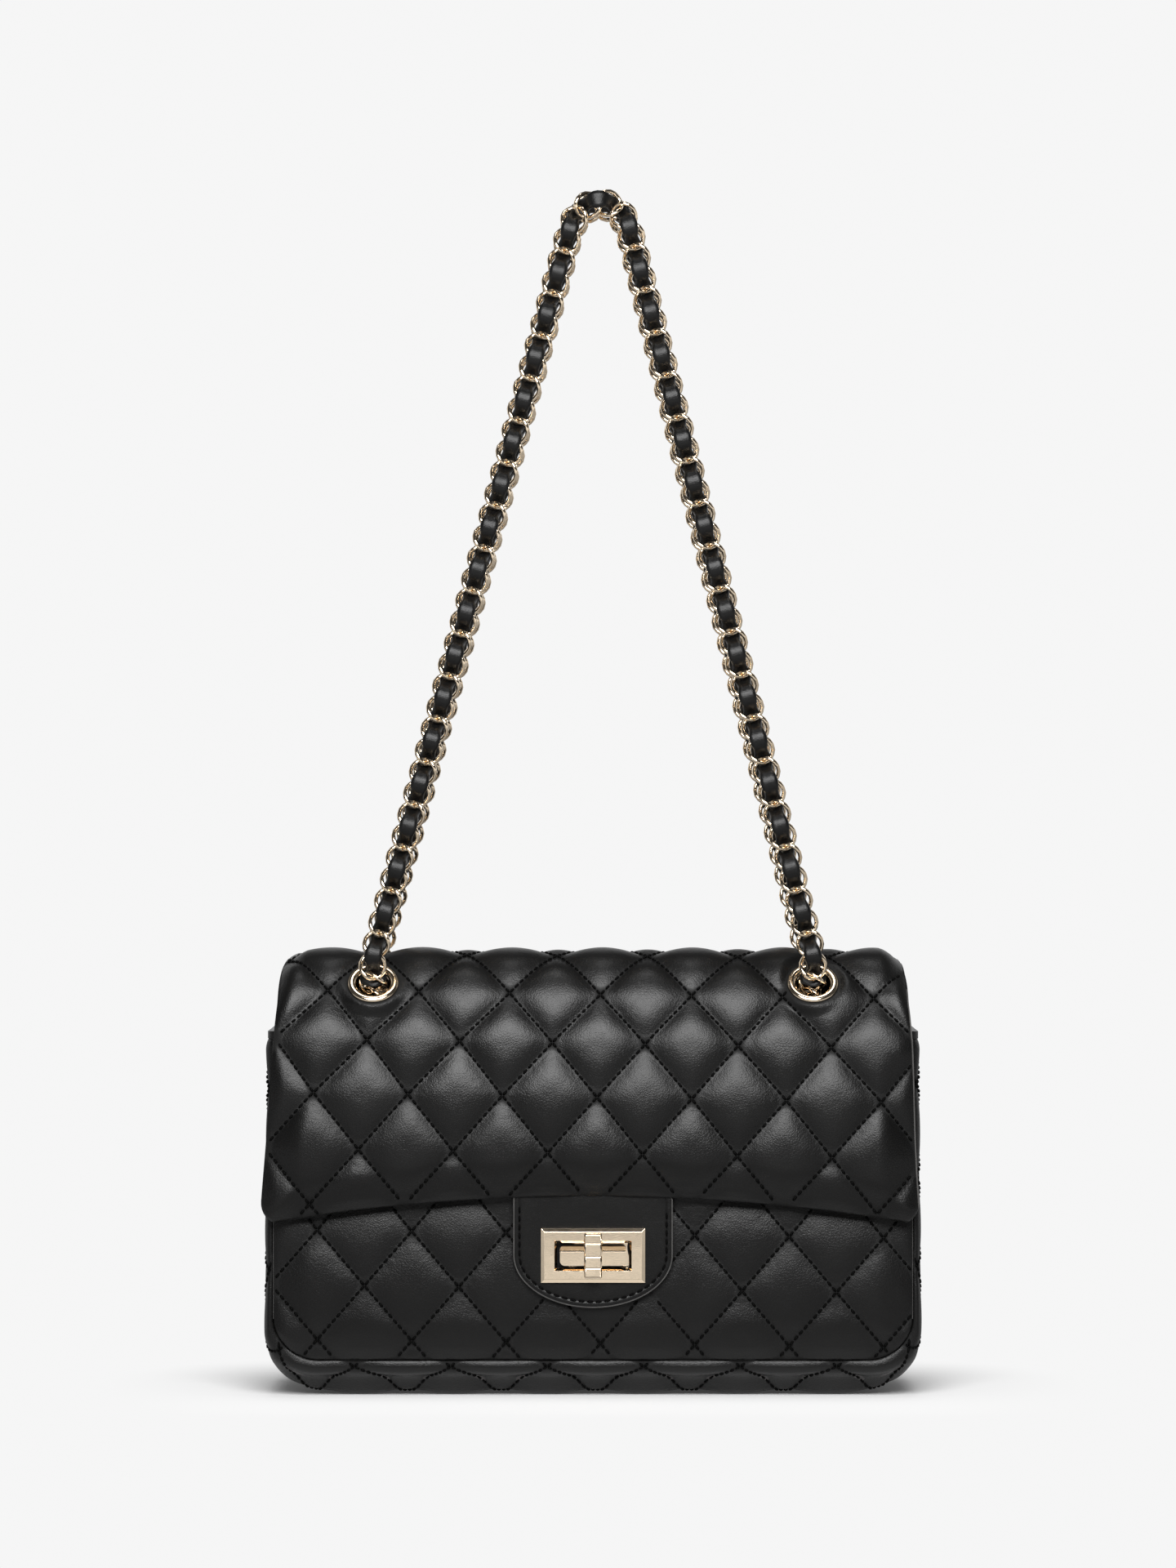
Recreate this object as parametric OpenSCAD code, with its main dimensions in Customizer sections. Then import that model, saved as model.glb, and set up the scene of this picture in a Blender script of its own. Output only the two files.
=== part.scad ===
// Chain shoulder bag: a quilted flap bag that stands on its base, strap held up.
// Origin at the centre of the base, +Z up, the front of the bag looks along -Y.

/* [Body] */
// Width of the body over the side gussets
body_w = 253; // [200:1:320]
// Depth of the body from front leather to back leather
body_d = 63; // [50:1:90]
// Height of the mouth rim at the front and sides
rim_h = 136; // [120:1:150]
// Radius of the bottom corners in the front view
corner_r = 24; // [16:1:34]
// Radius of the long bottom edges
edge_r = 12; // [8:0.5:14]
// Radius of the upright edges
upright_r = 6; // [5:0.5:8]
// Distance from a side of the body to the panel seam
seam_in = 4; // [3:0.5:8]
// Height of the bottom panel seam above the ground
seam_up = 14.5; // [12:0.5:20]
// Radius of the panel's bottom corners
seam_r = 17; // [12:1:26]
// Thickness of the body leather
leather_t = 2.4; // [1.8:0.1:3]
// Thickness of the stiffening boards
board_t = 1; // [0.8:0.1:1.5]
// Thickness of the lining
lining_t = 1; // [0.6:0.1:1.4]

/* [Top and flap] */
// Rise of the flap's top above the mouth rim
crest_rise = 30; // [27:1:40]
// Outer radius of the front shoulder
front_arch_r = 31; // [26:1:33]
// Outer radius of the rear shoulder
rear_arch_r = 28; // [24:1:30]
// Turn of the fold line from the crest round the rear shoulder
fold_turn = 17; // [12:1:22]
// Running gap round the fold
fold_gap = 0.8; // [0.6:0.05:1]
// Gap between the front leather and the flap lining
flap_gap = 1.6; // [1:0.1:3]
// Thickness of the flap lining
flap_lining_t = 0.8; // [0.5:0.1:1.2]
// Thickness of the flap wadding
wadding_t = 2.2; // [1.5:0.1:3]
// Thickness of the flap's quilted leather
flap_leather_t = 1.6; // [1.2:0.1:2.4]
// Width of the flap along the crest
flap_top_w = 235; // [190:1:250]
// Width of the flap at its tips
flap_tip_w = 247; // [195:1:252]
// Height of the hem in the middle
hem_h = 77; // [60:1:100]
// Height of the hem at the tips
tip_h = 66; // [50:1:90]
// Radius of the flap's lower corners
tip_r = 9; // [5:0.5:14]

/* [Quilting] */
// Width of a diamond
quilt_w = 35.6; // [33:0.1:39]
// Height of a diamond
quilt_h = 42.4; // [40:0.1:45]
// Height of the row of crossings in the middle of the flap
quilt_mid = 114.6; // [110:0.1:118]
// Slope of the rows down to the right, in degrees
quilt_slope = 1; // [0:0.1:1.5]
// Sideways shift of the crossings from the middle of the bag
quilt_shift = 1.5; // [0:0.1:2]
// Rise of the diamonds over the plain surface
crown_up = 2; // [1:0.1:2.2]
// Depth of the flap's grooves below the plain surface
groove_in = 0.45; // [0.4:0.05:0.5]

/* [Lock tab] */
// Width of the lock tab
tab_w = 60.5; // [44:0.5:80]
// Height of the tab's lower end above the ground
tab_low = 34.5; // [24:0.5:40]
// Height of the ellipse that ends the tab
tab_round_h = 20; // [10:1:28]
// Thickness of the tab
tab_t = 2.8; // [2:0.1:3]
// Length of the tab's end sewn inside the flap
tab_tail_h = 11; // [8:1:16]

/* [Turn lock] */
// Height of the lock's centre above the ground
lock_h = 54.5; // [50:0.1:58]
// Width of the frame plate
frame_w = 39.5; // [34:0.5:44]
// Height of the frame plate
frame_h = 20.6; // [18:0.2:22]
// Thickness of the frame plate
frame_t = 2; // [1.5:0.1:2.5]
// Width of the frame's window
window_w = 27.2; // [25:0.2:29]
// Height of the frame's window
window_h = 9.4; // [9:0.1:11]
// Thickness of the plate behind the tab
frame_back_t = 0.5; // [0.4:0.1:0.8]
// Radius of the frame's rivets
rivet_r = 1; // [0.7:0.1:1.3]
// Width of the boss that fills the window
boss_w = 25; // [20:0.2:26.5]
// Height of the boss
boss_h = 7.8; // [7:0.1:8.6]
// Width of the knob bar
knob_w = 6.7; // [5:0.1:7.4]
// Length of the knob bar
knob_l = 16.8; // [13:0.1:19]
// Thickness of the knob bar
knob_t = 3.5; // [2.5:0.1:5]
// Width of the grooves in the knob bar
groove_w = 0.8; // [0.4:0.1:1.2]
// Radius of the knob's post
post_r = 1.9; // [1.4:0.1:2.4]

/* [Eyelets] */
// Distance between the left and right eyelets
eyelet_span = 166.8; // [120:1:180]
// Outer radius of the eyelet's flange
flange_r = 9.75; // [8.5:0.25:11]
// Height of the flange
flange_t = 1.4; // [1:0.1:1.4]
// Radius of the hole
hole_r = 6.4; // [6.3:0.1:7]
// Wall of the eyelet's barrel
barrel_t = 0.8; // [0.6:0.1:1.2]
// Outer radius of the washer inside
washer_r = 8.8; // [8.4:0.1:9.4]
// Thickness of the washer
washer_t = 0.6; // [0.4:0.1:0.8]

/* [Chain] */
// Radius of a link to the middle of its wire
link_r = 5.3; // [5.2:0.05:5.4]
// Radius of the link's wire
wire_r = 0.75; // [0.6:0.05:0.8]
// Gap between the wires of two links
link_gap = 0.65; // [0.5:0.05:0.8]
// Height of the apex above the strap's lowest link
strap_h = 289.5; // [200:0.5:320]
// Offset of the apex to the right
apex_x = 2.6; // [-10:0.1:10]
// Radius of the strap's bend at the apex
apex_r = 11; // [11:0.5:30]
// Lean of the front strand towards the back
front_lean = 3.6; // [0:0.1:6]
// Lean of the rear strand towards the front
rear_lean = 3.2; // [0:0.1:5]
// Width of the lace
lace_w = 3; // [2:0.1:3.2]
// Thickness of the lace
lace_t = 1.4; // [1:0.1:1.5]
// Reach of the lace to the front and back of the links
lace_reach = 4.3; // [4.2:0.05:4.6]

/* [Zip pocket] */
// Height of the zip above the ground
zip_h = 106; // [90:1:115]
// Length of the row of teeth
zip_l = 140; // [100:2:180]
// Width of the zip tape
tape_w = 14; // [10:1:20]
// Thickness of the zip tape
tape_t = 0.6; // [0.4:0.1:1]
// Width of the row of teeth
teeth_w = 4; // [3:0.1:5]
// Thickness of the row of teeth
teeth_t = 1; // [0.8:0.1:1.4]
// Distance from tooth to tooth
tooth_step = 4; // [3:0.5:6]
// Length of the slider
slider_l = 9; // [7:0.5:12]
// Width of the slider
slider_w = 7; // [6:0.5:9]
// Thickness of the slider
slider_t = 2.2; // [1.8:0.1:3]
// Length of the puller
puller_l = 20; // [14:1:26]
// Width of the puller
puller_w = 5; // [4:0.5:7]
// Thickness of the puller
puller_t = 1; // [0.8:0.1:1.4]

/* [Hidden] */
$fn = 64;
crest_h = rim_h + crest_rise;
far = body_w + crest_h;
slit = 0.02;
run_gap = 0.35;
leather = [0.12, 0.12, 0.13];
lining_tone = [0.2, 0.19, 0.19];
board_tone = [0.55, 0.48, 0.4];
gold = [0.88, 0.76, 0.62];

front_y = -body_d / 2;
back_y = body_d / 2;
lining_in = leather_t + board_t;
cavity_in = lining_in + lining_t;
flap_t = flap_lining_t + wadding_t + flap_leather_t;
flap_front_y = front_y - flap_gap - flap_t;
arch_y = flap_front_y + front_arch_r;
arch_z = crest_h - front_arch_r;
rear_y = back_y - rear_arch_r;
rear_z = crest_h - rear_arch_r;
fold_r = flap_t / 2;
fold_y = rear_y + (rear_arch_r - fold_r) * sin(fold_turn);
fold_z = rear_z + (rear_arch_r - fold_r) * cos(fold_turn);
hem_rise = hem_h - tip_h;
hem_r = (pow(flap_tip_w / 2, 2) + pow(hem_rise, 2)) / (2 * hem_rise);

// Places along the side profile, from the ground in front, over the top and down the back
v_arch = arch_z;
v_crest = v_arch + front_arch_r * PI / 2;
v_rear = v_crest + rear_y - arch_y;
v_fold = v_rear + rear_arch_r * fold_turn * PI / 180;
v_back = v_rear + rear_arch_r * PI / 2;
top_squeeze = 1.05;
quilt_drop = tan(quilt_slope) * flap_tip_w / 2;
fold_calm = 6;
fold_fade = 14;
fold_ledge = 1;
flap_ground = 1;
slab_sunk = 0.05;
back_sunk = 1;
back_lift = 0.15;
arch_lift = 0.65;
slab_end = 3;
seat_gap = 0.25;
function side_at(v) =
    v < v_arch ? [flap_front_y, v, -1, 0]
    : v < v_crest ? let (a = (v - v_arch) / front_arch_r * 180 / PI)
        [arch_y - front_arch_r * cos(a), arch_z + front_arch_r * sin(a), -cos(a), sin(a)]
    : v < v_rear ? [arch_y + v - v_crest, crest_h, 0, 1]
    : v < v_back ? let (b = (v - v_rear) / rear_arch_r * 180 / PI)
        [rear_y + rear_arch_r * sin(b), rear_z + rear_arch_r * cos(b), sin(b), cos(b)]
    : [back_y, rear_z - (v - v_back), 1, 0];

// Place of row j of the quilting's points, four to a diamond
function row_v(j) =
    let (w = j * quilt_h / 4, most = (v_rear - quilt_mid) * top_squeeze)
    w < 0 ? quilt_mid + w : w < most ? quilt_mid + w / top_squeeze : v_rear + w - most;
function crown_share(i, j) = pow(abs(sin(45 * (i + j)) * sin(45 * (i - j))), 0.6);
function between(lo, hi, t) = max(lo, min(hi, t));
function cover_taper(v) =
    let (z = side_at(v)[1], up = (z - tip_h) / (arch_z + front_arch_r / 2 - tip_h))
    (flap_tip_w + (flap_top_w - flap_tip_w) * between(0, 1, up)) / flap_tip_w;

eyelet_turn = 45;
eyelet_x = eyelet_span / 2;
front_eyelet = [arch_y - front_arch_r * sin(eyelet_turn), arch_z + front_arch_r * cos(eyelet_turn)];
rear_eyelet = [rear_y + rear_arch_r * sin(eyelet_turn), rear_z + rear_arch_r * cos(eyelet_turn)];
washer_sag = front_arch_r - flap_t - sqrt(pow(front_arch_r - flap_t, 2) - pow(washer_r, 2));
rear_sag = rear_arch_r - cavity_in - sqrt(pow(rear_arch_r - cavity_in, 2) - pow(washer_r, 2));
washer_deep = flap_t + washer_sag + slit;
rear_washer_deep = cavity_in + rear_sag + slit;
barrel_rim = 0.3;

link_hang = link_r - 2 * wire_r - link_gap;
link_step = link_hang + link_r;
front_pin = front_eyelet + link_r * [-sin(eyelet_turn), cos(eyelet_turn)];
rear_pin = rear_eyelet + link_r * [sin(eyelet_turn), cos(eyelet_turn)];
front_root = front_pin + 2 * link_hang * [sin(front_lean), cos(front_lean)];
rear_root = rear_pin + 2 * link_hang * [-sin(rear_lean), cos(rear_lean)];

base_plate_t = 0.6;
frame_back_y = front_y - base_plate_t - run_gap;
tab_back_y = frame_back_y - frame_back_t;
tab_front_y = tab_back_y - tab_t;
frame_front_y = tab_front_y - frame_t;
boss_y = frame_front_y + frame_t / 2;
knob_back_y = frame_front_y - run_gap;
clamp_t = 0.8;
clamp_gap = 0.3;
spring_t = 0.5;
prong_w = 2.4;
prong_t = 0.7;
base_plate_w = boss_w + 2 * prong_w;
base_plate_h = boss_h + 2 * prong_w;
clamp_y = front_y + cavity_in;
cap_t = 1;
cap_r = 2 * post_r;

binding_t = 1.6;
binding_over = 0.4;
tape_y = back_y - cavity_in - tape_t;
teeth_y = tape_y - teeth_t;
slider_y = teeth_y - run_gap - slider_t;
bail_r = 0.6;
bail_y = slider_y - bail_r - puller_t / 2;
bail_gap = 0.25;
lug_t = 1;

strap_x = eyelet_x;
left_dx = strap_x + apex_x;
right_dx = strap_x - apex_x;
bend_z = strap_h - apex_r;
function reach(dx) = norm([dx, bend_z]);
function leg_turn(dx) = atan2(dx, bend_z) - asin(apex_r / reach(dx));
function leg_len(dx) = sqrt(pow(reach(dx), 2) - pow(apex_r, 2));
left_turn = leg_turn(left_dx);
right_turn = leg_turn(right_dx);
left_len = leg_len(left_dx);
right_len = leg_len(right_dx);
bend_turn = 180 - left_turn - right_turn;
bend_len = apex_r * bend_turn * PI / 180;
strap_len = left_len + bend_len + right_len;
strap_links = 1 + round((strap_len - 2 * link_r) / link_step);
strap_step = (strap_len - 2 * link_r) / (strap_links - 1);
link_tilt = 45;
first_tilts = [0, -65];
lace_first = 2;

// Point of the strap's middle line, in its own plane, at a length from its left root
function bend_point(turn) =
    [apex_x - apex_r * cos(turn), bend_z + apex_r * sin(turn)];
function strap_point(s) =
    s < left_len
        ? [-strap_x + s * sin(left_turn), s * cos(left_turn)]
        : s < left_len + bend_len
            ? bend_point(left_turn + (s - left_len) / apex_r * 180 / PI)
            : [strap_x - (strap_len - s) * sin(right_turn), (strap_len - s) * cos(right_turn)];
function joint_point(k) = strap_point(link_r + (k + 0.5) * strap_step);
function link_mid(k) = (joint_point(k - 1) + joint_point(k)) / 2;
function link_dir(k) = let (d = joint_point(k) - joint_point(k - 1)) atan2(d[0], d[1]);
end_sign = strap_links % 2 == 1 ? 1 : -1;
function tilt_of(k) =
    let (j = strap_links - 1 - k)
    k < len(first_tilts) ? first_tilts[k]
    : j < len(first_tilts) ? end_sign * first_tilts[j]
    : link_tilt * (k % 2 == 0 ? 1 : -1);

// Round the apex the lace bulges out, reaches farther and is pinched, clear of the bent links
apex_out = 0.9;
apex_reach = 0.9;
apex_pinch = 0.7;
function in_bend(k) = abs(joint_point(k)[0] - apex_x) < apex_r && joint_point(k)[1] > bend_z;
function when_bent(k, extra) = in_bend(k) ? extra : 0;
lace_side_share = 0.6;
function lace_ring(k) =
    let (
        p = joint_point(k),
        d = joint_point(k + 1) - joint_point(k - 1),
        a = atan2(d[0], d[1]),
        u = [cos(a), -sin(a)],
        m = p - when_bent(k, apex_out) * u,
        w = lace_w - when_bent(k, apex_pinch),
        y = (lace_reach + when_bent(k, apex_reach)) * (k % 2 == 0 ? 1 : -1)
    )
    [for (c = [[-1, -lace_side_share], [0, -1], [1, -lace_side_share],
               [1, lace_side_share], [0, 1], [-1, lace_side_share]])
        let (q = m + c[0] * w / 2 * u) [q[0], y + c[1] * lace_t / 2, q[1]]];

run_tilts = [90, 15, -60, 60, -15, 90];
run_links = len(run_tilts);
run_len = 2 * link_hang + (run_links - 1) * link_step;
run_front = front_eyelet - link_r * [-sin(eyelet_turn), cos(eyelet_turn)];
run_rear = rear_eyelet - link_r * [sin(eyelet_turn), cos(eyelet_turn)];
run_chord = norm(run_rear - run_front);
// Half angle of an arc whose length and chord are given, by halving the interval
function half_angle(lo, hi, n) =
    let (mid = (lo + hi) / 2)
    n == 0 ? mid
    : sin(mid) / (mid * PI / 180) > run_chord / run_len ? half_angle(mid, hi, n - 1)
    : half_angle(lo, mid, n - 1);
widest_half = 120;
run_half = half_angle(1, widest_half, 40);
run_r = run_chord / 2 / sin(run_half);
run_slope = atan2((run_rear - run_front)[1], (run_rear - run_front)[0]);
run_mid = (run_front + run_rear) / 2 + run_r * cos(run_half) * [-sin(run_slope), cos(run_slope)];
function run_turn(s) = run_slope - run_half + s / run_r * 180 / PI;
function run_point(s) = run_mid + run_r * [sin(run_turn(s)), -cos(run_turn(s))];
function run_s(k) = link_hang + k * link_step;

// Rectangle with rounded corners about its middle
module soft_rect(w, h, r) {
    square([w - 2 * r, h], center = true);
    square([w, h - 2 * r], center = true);
    for (sx = [-1, 1], sy = [-1, 1])
        translate([sx * (w / 2 - r), sy * (h / 2 - r)]) circle(r = r);
}

// Lays a drawing of the front view across the depth from y0 to y1
module across(y0, y1) {
    translate([0, y1, 0]) rotate([90, 0, 0]) linear_extrude(height = y1 - y0) children();
}

// Lays a drawing of the side view, y to the right and z up, along x over the width w
module along(w) {
    translate([-w / 2, 0, 0]) rotate([90, 0, 90]) linear_extrude(height = w) children();
}

// Front outline of the body, drawn in by o, its top well above the rim
module body_front(o) {
    translate([0, o + far / 2]) soft_rect(body_w - 2 * o, far, corner_r - o);
}

// Solid outer form of the body, drawn in by o
module tub(o, top = rim_h) {
    intersection() {
        across(front_y - slit, back_y + slit) body_front(o);
        along(far) translate([0, o + far / 2]) soft_rect(body_d - 2 * o, far, edge_r - o);
        linear_extrude(height = top) soft_rect(body_w - 2 * o, body_d - 2 * o, upright_r - o);
    }
}

// Front outline inside the panel seam
module seam_outline() {
    w = body_w - 2 * seam_in;
    translate([0, seam_up + far / 2]) soft_rect(w, far, seam_r);
}

module body_wall(o, t) {
    difference() {
        tub(o);
        tub(o + t, rim_h + slit);
    }
}

module gusset_band() {
    color(leather) difference() {
        body_wall(0, leather_t);
        across(-far, far) seam_outline();
    }
}

module front_panel() {
    color(leather) difference() {
        intersection() {
            body_wall(0, leather_t);
            across(front_y - slit, 0) seam_outline();
        }
        lock_holes(leather_t);
    }
}

// Sideways limits of the top: straight tapering sides
module top_outline(top_w, low_w, low_z) {
    polygon([[-low_w / 2, low_z], [low_w / 2, low_z], [top_w / 2, arch_z + front_arch_r / 2],
             [top_w / 2, crest_h + flap_t], [-top_w / 2, crest_h + flap_t],
             [-top_w / 2, arch_z + front_arch_r / 2]]);
}

// Rear shoulder in the side view, between the depths o and o + t
module rear_arch(o, t) {
    difference() {
        intersection() {
            translate([rear_y, rear_z]) difference() {
                circle(r = rear_arch_r - o);
                circle(r = rear_arch_r - o - t);
            }
            translate([rear_y, rear_z]) square([far, far]);
            translate([rear_y, rear_z]) rotate(-fold_turn) square([far, far]);
        }
        translate([fold_y, fold_z]) circle(r = fold_r + fold_gap);
    }
    translate([back_y - o - t, rim_h]) square([t, rear_z - rim_h]);
}

module rear_top(o, t, w) {
    intersection() {
        along(far) rear_arch(o, t);
        across(-far, far) top_outline(flap_top_w, w, rim_h);
    }
}

// Rear holes for the eyelets' barrels
module rear_bores() {
    for (side = [-1, 1])
        at_eyelet(side * eyelet_x, rear_eyelet, -eyelet_turn)
            cylinder(r = hole_r + barrel_t + slit, h = far / 4, center = true);
}

// A closed slab over a grid of points: rows of [place, row of the pattern], i1 columns each way
module quilt_slab(rows, i1, deep, lift, arch_lift) {
    n = len(rows);
    m = 2 * i1 + 1;
    function at(r, i, rise) =
        let (
            x = quilt_shift + i * quilt_w / 4 * cover_taper(rows[r][0]),
            v = rows[r][0] - (rows[r][2] ? quilt_drop * x / (flap_tip_w / 2) : 0),
            s = side_at(v),
            h = rise ? lift + (v < v_back + fold_calm && v > v_fold ? arch_lift : 0)
                    + rows[r][3] * crown_share(i, rows[r][1]) : -deep
        )
        [x, s[0] + s[2] * h, s[1] + s[3] * h];
    points = [for (rise = [true, false], r = [0 : n - 1], i = [-i1 : i1]) at(r, i, rise)];
    low = n * m;
    outer = [for (r = [0 : n - 2], c = [0 : m - 2])
        let (a = r * m + c, b = a + 1, d = a + m, e = d + 1)
        each (c - i1 + rows[r][1]) % 2 != 0 ? [[a, d, b], [d, e, b]] : [[a, d, e], [a, e, b]]];
    inner = [for (f = outer) [f[2] + low, f[1] + low, f[0] + low]];
    left = [for (r = [0 : n - 2]) let (a = r * m, d = a + m)
        each [[d, a, a + low], [d, a + low, d + low]]];
    right = [for (r = [0 : n - 2]) let (b = r * m + m - 1, c = b + m)
        each [[b, c, c + low], [b, c + low, b + low]]];
    last = [for (c = [0 : m - 2]) let (d = (n - 1) * m + c, e = d + 1)
        each [[e, d, d + low], [e, d + low, e + low]]];
    first = [for (c = [0 : m - 2]) each [[c, c + 1, c + 1 + low], [c, c + 1 + low, c + low]]];
    polyhedron(points = points, faces = concat(outer, inner, left, right, last, first));
}

flap_row_lo = floor((tip_h - quilt_mid - quilt_drop) / (quilt_h / 4));
flap_row_hi = floor(((v_rear - quilt_mid) * top_squeeze + v_fold - fold_ledge - quilt_drop - v_rear)
    / (quilt_h / 4));
flap_rows = concat(
    [for (j = [flap_row_lo : flap_row_hi])
        let (v = row_v(j)) [v, j, true, (crown_up + groove_in) * between(0, 1, (v_fold - v - fold_calm) / fold_fade)]],
    [[v_fold - fold_ledge, flap_row_hi + 1, false, 0]]);
back_row_lo = ceil(((v_rear - quilt_mid) * top_squeeze + v_fold + 2 * quilt_drop - v_rear) / (quilt_h / 4));
back_end = v_back + rear_z - seam_up - slab_end;
back_rows = concat(
    [[v_fold + fold_ledge + fold_gap, back_row_lo - 1, false, 0]],
    [for (j = [back_row_lo : back_row_lo + 20]) let (v = row_v(j)) if (v < back_end - slab_end)
        [v, j, true, crown_up * between(0, 1, (v - v_fold - fold_calm) / fold_fade)]]);
back_last = [back_end, back_rows[len(back_rows) - 1][1] + 1, false, 0];

// Flat seats in the leather for the eyelets' flanges
module eyelet_seats(at, turn) {
    for (side = [-1, 1])
        at_eyelet(side * eyelet_x, at, turn) cylinder(r = flange_r + seat_gap, h = 3 * flange_t);
}

module back_panel() {
    w = body_w - 2 * seam_in;
    cols = floor((flap_top_w / 2 - slab_end) / (quilt_w / 4 * flap_top_w / flap_tip_w));
    color(leather) difference() {
        union() {
            intersection() {
                body_wall(0, leather_t);
                across(0, back_y + slit) seam_outline();
            }
            rear_top(0, leather_t, w);
            quilt_slab(concat(back_rows, [back_last]), cols, back_sunk, back_lift, arch_lift - back_lift);
        }
        rear_bores();
        eyelet_seats(rear_eyelet, -eyelet_turn);
        along(far) translate([fold_y, fold_z]) circle(r = fold_r + fold_gap - slit);
    }
}

module base_board() {
    w = body_w - 2 * corner_r;
    d = body_d - 2 * edge_r;
    color(board_tone) translate([-w / 2, -d / 2, leather_t]) cube([w, d, board_t]);
}

module front_board() {
    w = body_w - 2 * corner_r;
    color(board_tone) difference() {
        translate([-w / 2, front_y + leather_t, corner_r]) cube([w, board_t, rim_h - corner_r]);
        lock_holes(lining_in);
    }
}

module back_board() {
    w = body_w - 2 * corner_r;
    color(board_tone) difference() {
        union() {
            translate([-w / 2, back_y - lining_in, corner_r]) cube([w, board_t, rim_h - corner_r]);
            rear_top(leather_t, board_t, w);
        }
        rear_bores();
    }
}

module body_lining() {
    w = body_w - 2 * seam_in;
    color(lining_tone) difference() {
        union() {
            body_wall(lining_in, lining_t);
            rear_top(lining_in, lining_t, w);
        }
        rear_bores();
        lock_holes(cavity_in);
    }
}

module mouth_binding() {
    over = binding_over;
    inner = cavity_in + binding_over;
    end_y = back_y - cavity_in - binding_t;
    color(leather) translate([0, 0, rim_h]) linear_extrude(height = binding_t) difference() {
        soft_rect(body_w + 2 * over, body_d + 2 * over, upright_r + over);
        soft_rect(body_w - 2 * inner, body_d - 2 * inner, upright_r - inner + leather_t);
        translate([-far / 2, end_y]) square(far);
    }
}

module zip_tape() {
    l = zip_l + tape_w;
    color(lining_tone) translate([-l / 2, tape_y, zip_h - tape_w / 2]) cube([l, tape_t, tape_w]);
}

module zip_teeth() {
    rail = teeth_w / 2;
    color(gold) union() {
        translate([-zip_l / 2, teeth_y + teeth_t / 2, zip_h - rail / 2])
            cube([zip_l, teeth_t / 2, rail]);
        for (x = [-zip_l / 2 : tooth_step : zip_l / 2 - tooth_step / 2])
            translate([x, teeth_y, zip_h - teeth_w / 2]) cube([tooth_step / 2, teeth_t, teeth_w]);
    }
}

module zip_slider() {
    lug_x = puller_w / 2 + bail_gap;
    drop = slider_y - bail_y;
    color(gold) {
        translate([-slider_l / 2, slider_y, zip_h - slider_w / 2]) cube([slider_l, slider_t, slider_w]);
        for (side = [-1, 1]) translate([side * (lug_x + lug_t / 2), 0, 0]) {
            translate([-lug_t / 2, bail_y, zip_h - bail_r]) cube([lug_t, drop + slit, 2 * bail_r]);
            translate([-lug_t / 2, bail_y, zip_h]) rotate([0, 90, 0]) cylinder(r = bail_r, h = lug_t);
        }
        translate([-lug_x - lug_t / 2, bail_y, zip_h]) rotate([0, 90, 0])
            cylinder(r = bail_r / 2, h = 2 * lug_x + lug_t);
    }
}

module zip_puller() {
    eye_r = bail_r / 2 + bail_gap / 2;
    color(gold) difference() {
        union() {
            translate([-puller_w / 2, bail_y - puller_t / 2, zip_h - puller_l])
                cube([puller_w, puller_t, puller_l]);
            translate([-puller_w / 2, bail_y, zip_h]) rotate([0, 90, 0])
                cylinder(r = puller_t / 2 + eye_r / 2, h = puller_w);
        }
        translate([-puller_w, bail_y, zip_h]) rotate([0, 90, 0]) cylinder(r = eye_r, h = 2 * puller_w);
    }
}

// Puts a piece drawn along +Z on an eyelet's axis
module at_eyelet(x, at, turn) {
    translate([x, at[0], at[1]]) rotate([turn, 0, 0]) children();
}

module eyelet(deep) {
    top = flange_t;
    color(gold) rotate_extrude() polygon([
        [hole_r, -deep], [hole_r + barrel_t, -deep], [hole_r + barrel_t, 0], [flange_r, 0],
        [flange_r, top / 2], [flange_r - top / 2, top], [hole_r + top / 2, top], [hole_r, top / 2]]);
}

module washer(deep) {
    inner = hole_r + barrel_t + slit;
    color(gold) translate([0, 0, -deep - washer_t]) difference() {
        cylinder(r = washer_r, h = washer_t);
        translate([0, 0, -slit]) cylinder(r = inner, h = washer_t + 2 * slit);
    }
}

module front_eyelet_at(side) {
    at_eyelet(side * eyelet_x, front_eyelet, eyelet_turn) eyelet(washer_deep + washer_t + barrel_rim);
}

module rear_eyelet_at(side) {
    at_eyelet(side * eyelet_x, rear_eyelet, -eyelet_turn)
        eyelet(rear_washer_deep + washer_t + barrel_rim);
}

module front_eyelet_left() { front_eyelet_at(-1); }
module front_eyelet_right() { front_eyelet_at(1); }
module rear_eyelet_left() { rear_eyelet_at(-1); }
module rear_eyelet_right() { rear_eyelet_at(1); }

module front_washers() {
    for (side = [-1, 1])
        at_eyelet(side * eyelet_x, front_eyelet, eyelet_turn) washer(washer_deep);
}

module rear_washers() {
    for (side = [-1, 1])
        at_eyelet(side * eyelet_x, rear_eyelet, -eyelet_turn) washer(rear_washer_deep);
}

// A ring in the plane of X and Z; tilt turns it about Z
module link(tilt) {
    rotate([0, 0, tilt]) rotate([90, 0, 0]) rotate_extrude($fn = 48)
        translate([link_r, 0]) circle(r = wire_r, $fn = 24);
}

module front_eyelet_links() {
    color(gold) for (side = [-1, 1]) at_eyelet(side * eyelet_x, front_eyelet, eyelet_turn) link(0);
}

module lead_links(pin, lean) {
    mid = pin + link_hang * [sin(lean), cos(lean)];
    color(gold) for (side = [-1, 1])
        translate([side * eyelet_x, mid[0], mid[1]]) rotate([-lean, 0, 0]) link(90);
}

module front_lead_links() { lead_links(front_pin, front_lean); }

module rear_eyelet_links() {
    color(gold) for (side = [-1, 1]) at_eyelet(side * eyelet_x, rear_eyelet, -eyelet_turn) link(0);
    lead_links(rear_pin, -rear_lean);
}

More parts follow.
